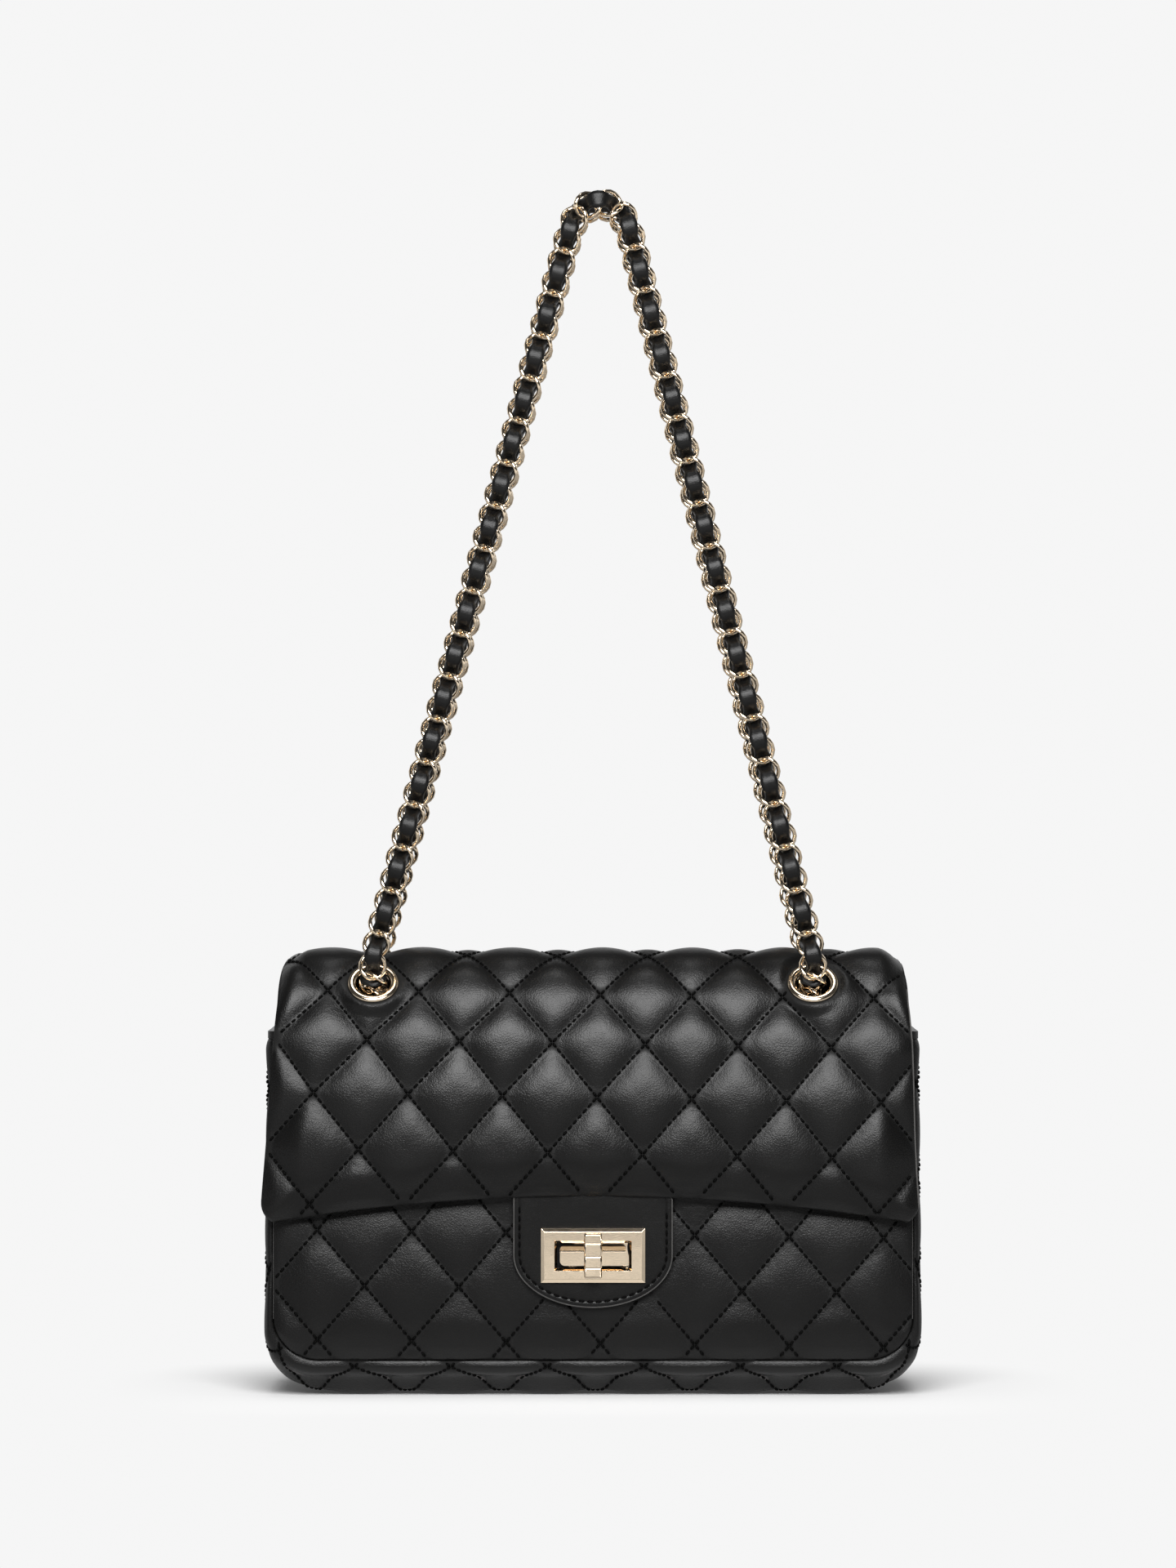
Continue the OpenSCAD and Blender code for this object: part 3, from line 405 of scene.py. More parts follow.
def grey_board():
    mat, tree, shader, vector = material("grey_board")
    base = colours().board
    fibre = add(tree, "ShaderNodeTexNoise", Scale=520.0, Detail=5.0, Roughness=0.7)
    tree.links.new(vector, fibre.inputs["Vector"])
    pulp = fibre.outputs["Fac"]
    finish(tree, shader, tint(tree, pulp, scaled(base, 0.7), scaled(base, 1.3)),
           math_node(tree, "MULTIPLY_ADD", pulp, 0.1, 0.8))
    bump(tree, shader, pulp, 0.3, 0.0002)
    return mat


def finish_of(name):
    makers = {m.__name__: m for m in (quilted_leather, smooth_leather, edge_paint_and_highlight, thread,
                                      pale_gold, lining_cloth, grey_board)}
    return bpy.data.materials.get(f"bag_{name}") or makers[name]()


# Surface of the bag: places, outward directions and diamonds

def over_top(v):
    """Depth, height and outward direction along the side profile, for places v."""
    a = np.clip((v - V_ARCH) / ARCH_R, 0, math.pi / 2)
    b = np.clip((v - V_REAR) / REAR_R, 0, math.pi / 2)
    crest = np.clip(v - V_CREST, 0, V_REAR - V_CREST)
    rear = v > V_REAR
    y = np.where(rear, REAR_Y + REAR_R * np.sin(b), ARCH_Y - ARCH_R * np.cos(a) + crest)
    z = np.where(rear, REAR_Z + REAR_R * np.cos(b), ARCH_Z + ARCH_R * np.sin(a))
    z = np.where(v < V_ARCH, v, z)
    z = np.where(v > V_BACK, REAR_Z - (v - V_BACK), z)
    ny = np.where(rear, np.sin(b), -np.cos(a))
    nz = np.where(rear, np.cos(b), np.sin(a))
    return y, z, ny, nz


def cover_half(v):
    """Half width of the flap and, behind the fold, of the back."""
    _, z, _, _ = over_top(v)
    up = np.clip((z - TIP_H) / (ARCH_Z + ARCH_R / 2 - TIP_H), 0, 1)
    flap = FLAP_TIP + (FLAP_TOP - FLAP_TIP) * up
    low = BODY_W / 2 - SEAM_IN
    up = np.clip((z - RIM) / (ARCH_Z + ARCH_R / 2 - RIM), 0, 1)
    back = low + (FLAP_TOP - low) * up
    return np.where(v > V_FOLD, back, flap)


def cover_place(x, v):
    y, z, ny, nz = over_top(v)
    flat = np.zeros_like(y)
    crown = np.where(v > V_BACK, np.sin(np.clip((z - 12) / 124, 0, 1) * math.pi), 0)
    crown = crown * 1.2 * np.cos(x / 125 * math.pi / 2)
    return np.stack([x, y + crown, z], -1), np.stack([flat, ny, nz], -1)


def front_place(x, v):
    flat = np.zeros_like(x)
    return np.stack([x, flat + FRONT_Y, v], -1), np.stack([flat, flat - 1, flat], -1)


class Diamonds:
    """A diamond pattern on a sheet: its size, its middle, and how rows slope, lean and narrow."""

    def __init__(self, width, height, x0, v0, narrow=0.0, up=1.0, slope=0.0, lean=0.0):
        self.width, self.height, self.x0, self.v0 = width, height, x0, v0
        self.narrow, self.up, self.slope, self.lean = narrow, up, slope, lean

    def rows(self, v):
        d = v - self.v0
        over = np.clip(v, self.v0, V_REAR) - self.v0
        return np.where(d > 0, d + over * (self.up - 1), d)

    def taper(self, v):
        return 1 - self.narrow * np.clip((v - self.v0) / 40, 0, 1)

    def drop(self, x):
        return self.slope * x

    def middle(self, v):
        return self.x0 + self.lean * (np.minimum(v, V_REAR) - self.v0)

    def pq(self, x, v):
        u = (x - self.middle(v)) / self.taper(v) / self.width
        w = (self.rows(v) + self.drop(x)) / self.height
        return u + w, u - w

    def xv(self, p, q):
        """Where a crossing or a place between crossings lies on the sheet."""
        u, w = (p + q) / 2 * self.width, (p - q) / 2 * self.height
        x = u + self.x0
        v = w + self.v0
        for _ in range(8):
            v = v + (w - self.drop(x) - self.rows(v)) / np.where(v > self.v0, self.up, 1.0)
            x = u * self.taper(v) + self.middle(v)
        return x, v

    def crown(self, x, v):
        p, q = self.pq(x, v)
        s = 1.0
        for t in (p, q):
            s = s * (1 - (1 - 2 * np.abs(t - np.round(t))) ** 2.7)
        cell = np.floor(p) * 12.9898 + np.floor(q) * 78.233
        chance = np.modf(np.abs(np.sin(cell) * 43758.5453))[0]
        return s * (0.93 + 0.12 * chance)


def flap_diamonds():
    s = sizes()
    return Diamonds(s.quilt_width / MM, s.quilt_height / MM, 1.5, 114.6, 0.036, 1.05, s.slope, 0.033)


def front_diamonds():
    s = sizes()
    return Diamonds(s.quilt_width / MM, 41.6, 2.8, 62.4, slope=0.8 * s.slope)


def band_diamonds():
    s = sizes()
    return Diamonds(s.quilt_width / MM, s.quilt_height / MM, 0.9, 3.5 - s.quilt_height / MM / 2)


def flap_width(v):
    """Half width of the flap's leather, a little fuller than its plain shape, and its lean to the left."""
    free = smooth((V_CREST + 6 - v) / 34)
    shoulder = np.exp(-((v - 136) / 26) ** 2)
    return cover_half(v) + 1.5 * free + 0.9 * shoulder, -1.1 * smooth((150 - v) / 80)


def face_out(v):
    """How far the flap's face stands out in front: full low down, and leaning back towards the arch."""
    at = np.linspace(60, 200, 281)
    lean = smooth((at - 88) / 47) * (1 - smooth((at - 133) / 14)) * math.tan(math.radians(10))
    out = sizes().bow / MM - np.cumsum(lean) * (at[1] - at[0])
    low = out[np.searchsorted(at, 147)]
    out = np.where(at > 147, low * (1 - smooth((at - 147) / 30)), out)
    return np.interp(v, at, out)


def flap_full(v, edge):
    """Fullness of the padded flap over its plain surface, in front and over the crest."""
    front = np.where(v < V_CREST, face_out(v), 0.0)
    front = np.where(front > 0, front * smooth(edge / 15), front)
    crest = smooth((v - V_ARCH - 10) / 28) * smooth((V_FOLD - 6 - v) / 16)
    return front + 2.9 * crest * smooth(edge / 9)


EYELETS = ((FRONT_EYELET, math.radians(45)), (REAR_EYELET, math.radians(-45)))


def eyelet_axes(which):
    """Middle and outward direction of the two front eyelets, 0, or the two rear ones, 1."""
    (ey, ez), turn = EYELETS[which]
    axis = np.array([0, -math.sin(turn), math.cos(turn)])
    return [(np.array([side * EYELET_X, ey, ez]), axis) for side in (-1, 1)]


def along_and_out(points, middle, axis):
    """Distances of points from a middle, along an axis and away from it."""
    d = points - middle
    along = d @ axis
    return along, np.sqrt(np.maximum((d ** 2).sum(-1) - along ** 2, 0))


def with_seats(points, rise, crown, which):
    """Rise and crown, with the leather led to the plane under each eyelet's flange."""
    reach, fade, deep, gap = 13.5, 4.0, 8.0, 0.03
    seat = np.zeros(points.shape[:-1])
    near = np.zeros(points.shape[:-1])
    for middle, axis in eyelet_axes(which):
        along, out = along_and_out(points, middle, axis)
        close = smooth((reach - out) / fade) * (np.abs(along) < deep)
        seat = np.where(close > near, -along - gap, seat)
        near = np.maximum(near, close)
    return rise * (1 - near) + seat * near, crown * (1 - near)


def hem(x):
    """Height of the flap's arched hem, with its rounded tips."""
    arch = HEM_H - (HEM_R - np.sqrt(HEM_R ** 2 - x ** 2))
    side = np.clip(np.abs(x) - (FLAP_TIP - TIP_R), 0, TIP_R)
    corner = TIP_H + TIP_R - np.sqrt(np.maximum(TIP_R ** 2 - side ** 2, 0))
    return np.maximum(arch, corner)


def seam_end(x):
    """Height of the seam along the bottom of the front and back, with its rounded corners."""
    side = np.clip(np.abs(x) - (BODY_W / 2 - SEAM_IN - SEAM_R), 0, SEAM_R)
    return SEAM_UP + SEAM_R - np.sqrt(np.maximum(SEAM_R ** 2 - side ** 2, 0))


def wander(x, v, scale=23.0):
    """Slow unevenness of stuffed leather, the same each run."""
    return (np.sin(x / scale + 1.3) * np.cos(v / scale * 1.31 + 0.4)
            + 0.6 * np.sin(x / scale * 2.1 + v / scale * 1.7))


EDGE_TURN, FOLD_FLAT, BACK_REACH = 1.6, 11.0, 60


def held(crown, edge, least, width):
    """Diamonds held down along a sheet's edge: least is what is left of them at the edge itself."""
    return crown * (least + (1 - least) * smooth(edge / width))


def turned_in(edge, amount):
    """How far a sheet's last stretch turns in towards the seam."""
    return amount * (1 - smooth(edge / EDGE_TURN))


def pillows(crown, v, gain):
    """Grooves and pillows of the leather over the top, both flatter near the fold."""
    s = sizes()
    low = smooth(np.abs(v - V_FOLD) / FOLD_FLAT)
    high = s.pillow / MM * (0.35 + gain * low)
    return -s.groove / MM * (0.3 + 0.7 * low) + high * crown


def flap_rise(x, v):
    """Rise of the flap's leather over its plain surface, and how high it crowns."""
    half, lean = flap_width(v)
    x_ref = (x - lean) / half * FLAP_TIP
    edge = np.minimum(half - np.abs(x - lean), v - hem(np.clip(x_ref, -FLAP_TIP, FLAP_TIP)))
    crown = held(flap_diamonds().crown(x, v), edge, 0.35, 5.0)
    rise = pillows(crown, v, 0.65) + 0.10 * wander(x, v) - turned_in(edge, 0.7) + flap_full(v, edge)
    return with_seats(cover_place(x, v)[0], rise, crown, 0)


def back_rise(x, v):
    """Rise and crown of the back, from the fold down to its seam."""
    _, z, _, _ = over_top(v)
    half = cover_half(v)
    low_half = BODY_W / 2 - SEAM_IN
    x_ref = x / half * low_half
    edge = np.minimum(half - np.abs(x), np.where(z < BACK_REACH, z - seam_end(x_ref), BACK_REACH))
    crown = held(flap_diamonds().crown(x, v), edge, 0.3, 4.5)
    rise = pillows(crown, v, 0.6) + 0.10 * wander(x, v) - turned_in(edge, 0.5)
    return with_seats(cover_place(x, v)[0], rise, crown, 1)


def front_rise(x, v):
    """The front is pressed flat behind the flap and the tab, and full below the hem."""
    edge = np.minimum(BODY_W / 2 - SEAM_IN - np.abs(x), v - seam_end(x))
    edge = np.minimum(edge, RIM - v)
    crown = held(front_diamonds().crown(x, v), edge, 0.3, 4.5)
    free = smooth((hem(x) + 2 - v) / 18.0)
    tab = smooth((np.abs(x) - 30) / 16.0)
    tab = np.maximum(tab, smooth((34 - v) / 16.0))
    amount = 0.9 + 0.75 * free * tab
    bow = 1.9 * np.clip(1 - ((v - 34) / 40) ** 2, 0, 1) * smooth(edge / 16)
    rise = -1.1 + bow + amount * crown + 0.08 * wander(x, v) - turned_in(edge, 0.4)
    return rise, crown


# Sheets of quilted leather

def shell(name, points, normals, rise, crown, thick, holes, materials, line=None):
    """A closed leather sheet over a grid: quilted outside, plain inside, with walls round its edges.

    The walls take the edge paint. Where line, a mask over the grid's cells, says so, the outside takes it
    too: a painted highlight line along that edge."""
    above_floor, margin, pull, hole_deep, inside_crown = 0.05, 0.7, 2.5, 9, 0.6
    n, m = rise.shape
    outer = points + normals * rise[..., None]
    inner = points - normals * thick
    outer[..., 2] = np.maximum(outer[..., 2], above_floor)
    centre = (points[:-1, :-1] + points[1:, :-1] + points[:-1, 1:] + points[1:, 1:]) / 4
    keep = np.ones((n - 1, m - 1), bool)
    for at, axis, radius in holes:
        along, out = along_and_out(centre, at, axis)
        keep &= ~((out < radius + margin) & (np.abs(along) < hole_deep))
    number = np.arange(n * m).reshape(n, m)
    a, b, c, d = number[:-1, :-1], number[:-1, 1:], number[1:, 1:], number[1:, :-1]
    mid = (n // 2, m // 2)
    e1 = points[mid[0] + 1, mid[1]] - points[mid]
    e2 = points[mid[0], mid[1] + 1] - points[mid]
    if np.dot(np.cross(e2, e1), normals[mid]) < 0:
        a, b, c, d = a, d, c, b
    quads = np.stack([a[keep], b[keep], c[keep], d[keep]], -1)
    edges = dict.fromkeys((face[i], face[(i + 1) % 4]) for face in quads for i in range(4))
    rim = [(p, q) for p, q in edges if (q, p) not in edges]
    total = n * m
    walls = [(q, p, p + total, q + total) for p, q in rim]
    inside = quads[:, ::-1] + total
    verts = np.concatenate([outer.reshape(-1, 3), inner.reshape(-1, 3)])
    touched = np.unique(np.array(rim))
    for at, axis, radius in holes:
        for i in (*touched, *(touched + total)):
            d0 = verts[i] - at
            along = d0 @ axis
            out = d0 - axis * along
            r = np.linalg.norm(out)
            if r < radius + pull and abs(along) < hole_deep:
                verts[i] = at + axis * along + out / r * radius
    faces = np.concatenate([quads, inside, np.array(walls)])
    used = np.unique(faces)
    back = np.full(2 * total, -1)
    back[used] = np.arange(len(used))
    obj = new_mesh(name, verts[used], back[faces], materials)
    # The crown also sets the quilted leather's painted shade, darker in the grooves; the inside takes a fixed
    # middle value.
    values = np.concatenate([crown.reshape(-1), np.full(total, inside_crown)])[used]
    attribute = obj.data.attributes.new("crown", "FLOAT", "POINT")
    attribute.data.foreach_set("value", values.astype(np.float32))
    which = np.zeros(len(obj.data.polygons), np.int32)
    if len(which) == len(faces):
        which[len(quads) * 2:] = 1
        if line is not None:
            which[:len(quads)] = line[keep]
        obj.data.polygons.foreach_set("material_index", which)
    obj.data.shade_smooth()
    bpy.context.view_layer.update()
    return obj


def spread(inner, corner, step, turns):
    """Columns across a sheet, close together round its lower corners."""
    flat = np.linspace(-inner, inner, int(2 * inner / step) + 1)
    angle = np.linspace(0, math.pi / 2, turns + 1)[1:]
    side = inner + corner * np.sin(angle)
    return np.concatenate([-side[::-1], flat, side])


def eyelet_holes(which):
    return [(middle, axis, HOLE_R + BARREL_T + 0.1) for middle, axis in eyelet_axes(which)]


def to_edge(cols, top, start, end, count):
    """Straight rows at the given places, and then rows that turn into the sheet's lower edge."""
    rows = [np.full_like(cols, v) for v in top]
    rows += [start + (end - start) * k for k in np.linspace(0, 1, count)[1:]]
    return np.array(rows)


def flap_grid():
    """The flap's grid: places across and along it, with its last rows along the hem."""
    step, low = 1.05, 84.5
    cols = spread(FLAP_TIP - TIP_R, TIP_R, step, 9)
    top = np.arange(V_FOLD, low, -step)
    v = to_edge(cols, top, top[-1], hem(cols), 15)
    half, lean = flap_width(v)
    return lean + cols[None, :] * half / FLAP_TIP, v


def back_grid():
    """The back's grid, from the fold down to the seam's rounded corners."""
    step, straight = 1.35, 30
    cols = spread(BODY_W / 2 - SEAM_IN - SEAM_R, SEAM_R, step, 12)
    last = V_BACK + REAR_Z - straight
    top = np.linspace(V_FOLD, last, int((last - V_FOLD) / step))
    v = to_edge(cols, top, last, V_BACK + REAR_Z - seam_end(cols), 14)
    v = np.maximum(v, V_FOLD + 0.001)
    return cols[None, :] * cover_half(v) / (BODY_W / 2 - SEAM_IN), v


def front_grid():
    """The front's grid, from the rim down to the seam's rounded corners."""
    step, straight = 1.2, 30
    cols = spread(BODY_W / 2 - SEAM_IN - SEAM_R, SEAM_R, step, 12)
    v = to_edge(cols, np.linspace(RIM, straight, 88), straight, seam_end(cols), 16)
    return np.broadcast_to(cols, v.shape).copy(), v


BAND_SIDE = RIM - CORNER_R
BAND_TURN = CORNER_R * math.pi / 2
BAND_FLAT = BODY_W - 2 * CORNER_R
BAND_LEN = 2 * BAND_SIDE + 2 * BAND_TURN + BAND_FLAT
BAND_STEP, BAND_ROWS = 1.35, 62


def band_lines(a):
    """Outline and seam of the gusset band in the front view, and the radius of its long edges."""
    sign = np.where(a < 0, -1.0, 1.0)
    t = np.abs(a)
    flat = BAND_FLAT / 2
    th = np.clip((t - flat) / CORNER_R, 0, math.pi / 2)
    up = np.clip(t - flat - BAND_TURN, 0, BAND_SIDE)
    px = np.minimum(t, flat) + CORNER_R * np.sin(th)
    pz = CORNER_R - CORNER_R * np.cos(th) + up
    seam_flat = BODY_W / 2 - SEAM_IN - SEAM_R
    sx = np.minimum(t, flat) * seam_flat / flat + SEAM_R * np.sin(th)
    rise = (RIM - SEAM_UP - SEAM_R) / BAND_SIDE
    sz = SEAM_UP + SEAM_R - SEAM_R * np.cos(th) + up * rise
    k = smooth(th / (math.pi / 2))
    return sign * px, pz, sign * sx, sz, EDGE_R + (UPRIGHT_R - EDGE_R) * k


def tuck(y, z):
    """How far the padded bottom is drawn up off the floor near its long edges."""
    return 5.5 * smooth((np.abs(y) - 18.5) / 9) * np.clip(1 - z / SEAM_UP, 0, 1) ** 1.5


def band_place(a, b):
    """Points of the band: a runs along it from the middle of the bottom, b across it from the front seam."""
    px, pz, sx, sz, r = band_lines(a)
    nx, nz = sx - px, sz - pz
    deep = np.sqrt(nx ** 2 + nz ** 2)
    nx, nz = nx / deep, nz / deep
    arc = np.arccos(np.clip(1 - deep / r, 0, 1))
    face = np.maximum(deep - r, 0)
    flat = BODY_D - 2 * r
    total = flat + 2 * (r * arc + face)
    s = b * total
    t = np.abs(s - total / 2)
    side = np.where(s < total / 2, -1.0, 1.0)
    beta = np.clip((t - flat / 2) / r, 0, arc)
    over = np.clip(t - flat / 2 - r * arc, 0, None)
    d = r * (1 - np.cos(beta)) + over
    y = side * (np.minimum(t, flat / 2) + r * np.sin(beta))
    beta = np.where(over > 0, math.pi / 2, beta)
    z = pz + nz * d
    p = np.stack([px + nx * d, y, z + tuck(y, z)], -1)
    n = np.stack([-nx * np.cos(beta), side * np.sin(beta), -nz * np.cos(beta)], -1)
    return p, n, s, total


def band_rise(a, b):
    """Rise and crown of the gusset band, lowest under the bottom and at the upright sides."""
    _, n, s, total = band_place(a, b)
    edge = np.minimum(s, total - s)
    edge = np.minimum(edge, (BAND_LEN / 2 - np.abs(a)))
    crown = held(band_diamonds().crown(a, s), edge, 0.35, 4.0)
    under = smooth(-n[..., 2] * 1.4 - 0.2)
    side = smooth(np.abs(n[..., 0]) * 1.6 - 0.5)
    height = 1.5 - 0.6 * side - 0.5 * smooth(np.abs(n[..., 1]) * 1.5 - 0.2)
    rise = -1.9 - 0.2 * under + height * crown + 0.06 * wander(a, s) - turned_in(edge, 0.4)
    return rise, crown


def select_only(obj):
    for other in bpy.context.selected_objects:
        other.select_set(False)
    obj.select_set(True)
    bpy.context.view_layer.objects.active = obj


class BAG_OT_body(bpy.types.Operator):
    """Quilted front, gusset band and back of the body"""
    bl_idname = "bag.body"
    bl_label = "Quilted Body"

    def execute(self, context):
        leather = [finish_of("quilted_leather"), finish_of("edge_paint_and_highlight")]
        lock = [(np.array([0, FRONT_Y, LOCK_Z]), np.array([0, -1.0, 0]), 2.6)]
        x, v = front_grid()
        p, n = front_place(x, v)
        # The front's outermost columns take the lighter edge paint outside: a painted highlight line down
        # both side edges.
        line = np.zeros((x.shape[0] - 1, x.shape[1] - 1), bool)
        line[:, :1] = line[:, -1:] = True
        front = shell("quilted_front", p, n, *front_rise(x, v), WALL, lock, leather, line)
        put(front, "bag", "quilted_leather", "front_panel")
        x, v = back_grid()
        p, n = cover_place(x, v)
        back = shell("quilted_back", p, n, *back_rise(x, v), WALL, eyelet_holes(1), leather)
        over_fold(back, "back_panel")
        a = np.linspace(-BAND_LEN / 2, BAND_LEN / 2, int(BAND_LEN / BAND_STEP))
        b = np.linspace(0, 1, BAND_ROWS)
        a, b = np.meshgrid(a, b, indexing="ij")
        p, n, _, _ = band_place(a, b)
        band = shell("quilted_gusset", p, n, *band_rise(a, b), WALL, [], leather[:1] * 2)
        put(band, "bag", "quilted_leather", "gusset_band")
        return {"FINISHED"}


def over_fold(obj, *nodes):
    """A leather piece that goes from the bag to the flap over the fold."""
    if nodes:
        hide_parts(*nodes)
    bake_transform(obj)


class BAG_OT_flap(bpy.types.Operator):
    """Quilted flap from the fold over the top to its arched hem"""
    bl_idname = "bag.flap"
    bl_label = "Quilted Flap"

    def execute(self, context):
        leather = [finish_of("quilted_leather"), finish_of("edge_paint_and_highlight")]
        x, v = flap_grid()
        p, n = cover_place(x, v)
        # The flap's right-hand edge, from a third of the way along the flap down to the hem, takes the
        # lighter edge paint outside: a painted highlight line on that side only.
        line = np.zeros((x.shape[0] - 1, x.shape[1] - 1), bool)
        line[line.shape[0] // 3:, -2:] = True
        flap = shell("quilted_flap", p, n, *flap_rise(x, v), SHELL, eyelet_holes(0), leather, line)
        over_fold(flap, "flap_leather", "flap_wadding", "flap_fold")
        return {"FINISHED"}


# Thread

def stitches(name, ends, normals, radius, mat):
    """Short raised stitches, each a small capsule bowed over the leather."""
    a, b = ends[:, 0], ends[:, 1]
    d = b - a
    side = np.cross(d, normals)
    side /= np.linalg.norm(side, axis=1, keepdims=True)
    rings = []
    for t, k, h in ((0.16, 0.8, 0.1), (0.5, 1.0, 0.45), (0.84, 0.8, 0.1)):
        middle = a + d * t + normals * radius * h
        for i in range(6):
            angle = math.pi * i / 3
            rings.append(middle + (side * math.cos(angle) + normals * math.sin(angle)) * radius * k)
    tips = [a - normals * radius * 0.5, b - normals * radius * 0.5]
    verts = np.stack(rings + tips, 1)
    count = verts.shape[1]
    faces = []
    for r in range(2):
        for i in range(6):
            j = (i + 1) % 6
            faces.append((r * 6 + i, r * 6 + j, r * 6 + 6 + j, r * 6 + 6 + i))
    caps = [(18, (i + 1) % 6, i) for i in range(6)] + [(19, 12 + i, 12 + (i + 1) % 6) for i in range(6)]
    base = np.arange(len(a))[:, None, None] * count
    quads = (np.array(faces)[None] + base).reshape(-1, 4)
    tris = (np.array(caps)[None] + base).reshape(-1, 3)
    return new_mesh(name, verts.reshape(-1, 3), [*quads, *tris], [mat])


def quilt_stitches(name, diamonds, place, rise, inside, span, radius):
    """Stitches along both families of grooves of a diamond pattern."""
    per = 10
    k = np.arange(-span, span + 1)
    j = (np.arange(-span * per, span * per) + 0.5) / per
    lines, along = np.meshgrid(k, j, indexing="ij")
    found, directions = [], []
    for family in (0, 1):
        pq = [lines.ravel().astype(float), along.ravel()]
        half = 0.43 / per
        points = []
        for shift in (-half, half, 0.0):
            p, q = (pq[0], pq[1] + shift) if family == 0 else (pq[1] + shift, pq[0])
            x, v = diamonds.xv(p, q)
            at, n = place(x, v)
            up, _ = rise(x, v)
            points.append((x, v, at + n * (up + radius * 0.6)[:, None], n))
        good = inside(points[0][0], points[0][1]) & inside(points[1][0], points[1][1])
        found.append(np.stack([points[0][2], points[1][2]], 1)[good])
        directions.append(points[2][3][good])
    return stitches(name, np.concatenate(found), np.concatenate(directions), radius, finish_of("thread"))


class BAG_OT_thread(bpy.types.Operator):
    """Stitches in the grooves of the quilting"""
    bl_idname = "bag.thread"
    bl_label = "Quilting Thread"

    def execute(self, context):
        radius = sizes().stitch_radius / MM

        def on_bag(obj):
            put(obj, "bag", "quilted_leather")

        def far_from(x, v, which):
            at, _ = cover_place(x, v)
            clear = np.ones(x.shape, bool)
            for centre, _ in eyelet_axes(which):
                clear &= np.linalg.norm(at - centre, axis=-1) > FLANGE_R + 0.8
            return clear

        def on_flap(x, v):
            half, lean = flap_width(v)
            at = np.clip((x - lean) / half, -1, 1) * FLAP_TIP
            return ((np.abs(x - lean) < half - 1.0) & (v > hem(at) + 0.35)
                    & (v < V_FOLD - 1.5) & far_from(x, v, 0))

        def on_back(x, v):
            edge = BODY_W / 2 - SEAM_IN
            _, z, _, _ = over_top(v)
            return ((np.abs(x) < cover_half(v) - 1.6) & (v > V_FOLD + 1.5) & (v < V_BACK + REAR_Z)
                    & (z > seam_end(np.clip(x, -edge, edge)) + 1.4) & far_from(x, v, 1))

        def on_front(x, v):
            edge = BODY_W / 2 - SEAM_IN
            tab = (np.abs(x) < 28) & (v > 38) & (v < 64)
            return ((np.abs(x) < edge - 0.5) & (v > seam_end(np.clip(x, -edge, edge)) + 0.4)
                    & (v < RIM - 1.6) & ~tab)

        def band_at(a, s):
            _, _, _, total = band_place(a, np.zeros_like(a))
            p, n, _, _ = band_place(a, s / total)
            return p, n

        def band_up(a, s):
            _, _, _, total = band_place(a, np.zeros_like(a))
            return band_rise(a, s / total)

        def on_band(a, s):
            inside = np.abs(a) < BAND_LEN / 2 - 1.6
            a = np.clip(a, -BAND_LEN / 2, BAND_LEN / 2)
            _, _, _, total = band_place(a, np.full_like(a, 0.5))
            p, _ = band_at(a, np.clip(s, 0, total))
            return inside & (s > 0.5) & (s < total - 0.5) & (p[..., 2] > -0.4)

        rows = ((over_fold, "flap_stitches", flap_diamonds(), cover_place, flap_rise, on_flap, 14),
                (over_fold, "back_stitches", flap_diamonds(), cover_place, back_rise, on_back, 20),
                (on_bag, "front_stitches", front_diamonds(), front_place, front_rise, on_front, 10),
                (on_bag, "gusset_stitches", band_diamonds(), band_at, band_up, on_band, 16))
        for join, *row in rows:
            join(quilt_stitches(*row, radius))
        return {"FINISHED"}


# Soft inner pieces and bindings

NOISE_SEED = 11


def outward(obj):
    """Turns all faces of a closed piece outwards."""
    bm = bmesh.new()
    bm.from_mesh(obj.data)
    bmesh.ops.recalc_face_normals(bm, faces=bm.faces)
    bm.to_mesh(obj.data)
    bm.free()
    return obj


def copy_of(node, name):
    """A merged copy of a CAD node's mesh, at the origin."""
    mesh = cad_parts[node].data.copy()
    mesh.name = name
    obj = bpy.data.objects.new(name, mesh)
    bpy.context.scene.collection.objects.link(obj)
    bm = bmesh.new()
    bm.from_mesh(mesh)
    bmesh.ops.remove_doubles(bm, verts=bm.verts, dist=1e-6)
    bmesh.ops.dissolve_limit(bm, angle_limit=math.radians(0.6), verts=bm.verts, edges=bm.edges)
    bm.to_mesh(mesh)
    bm.free()
    mesh.materials.clear()
    return obj


def softened(node, name, mat, step, amount, scale=0.03):
    """A soft piece: the node's own form cut into small faces and let go a little out of true."""
    obj = copy_of(node, name)
    bm = bmesh.new()
    bm.from_mesh(obj.data)
    lo = [min(v.co[i] for v in bm.verts) for i in range(3)]
    hi = [max(v.co[i] for v in bm.verts) for i in range(3)]
    for i in range(3):
        count = int((hi[i] - lo[i]) / step)
        for k in range(1, count):
            at = [0, 0, 0]
            at[i] = lo[i] + (hi[i] - lo[i]) * k / count
            normal = [0, 0, 0]
            normal[i] = 1
            bmesh.ops.bisect_plane(bm, geom=bm.verts[:] + bm.edges[:] + bm.faces[:], dist=1e-7,
                                   plane_co=at, plane_no=normal)
    noise.seed_set(NOISE_SEED)
    for v in bm.verts:
        v.co += noise.noise_vector(v.co / scale) * amount
    bm.to_mesh(obj.data)
    bm.free()
    obj.data.materials.append(mat)
    obj.data.shade_smooth()
    select_only(obj)
    bpy.ops.object.shade_smooth_by_angle(angle=math.radians(35))
    return obj


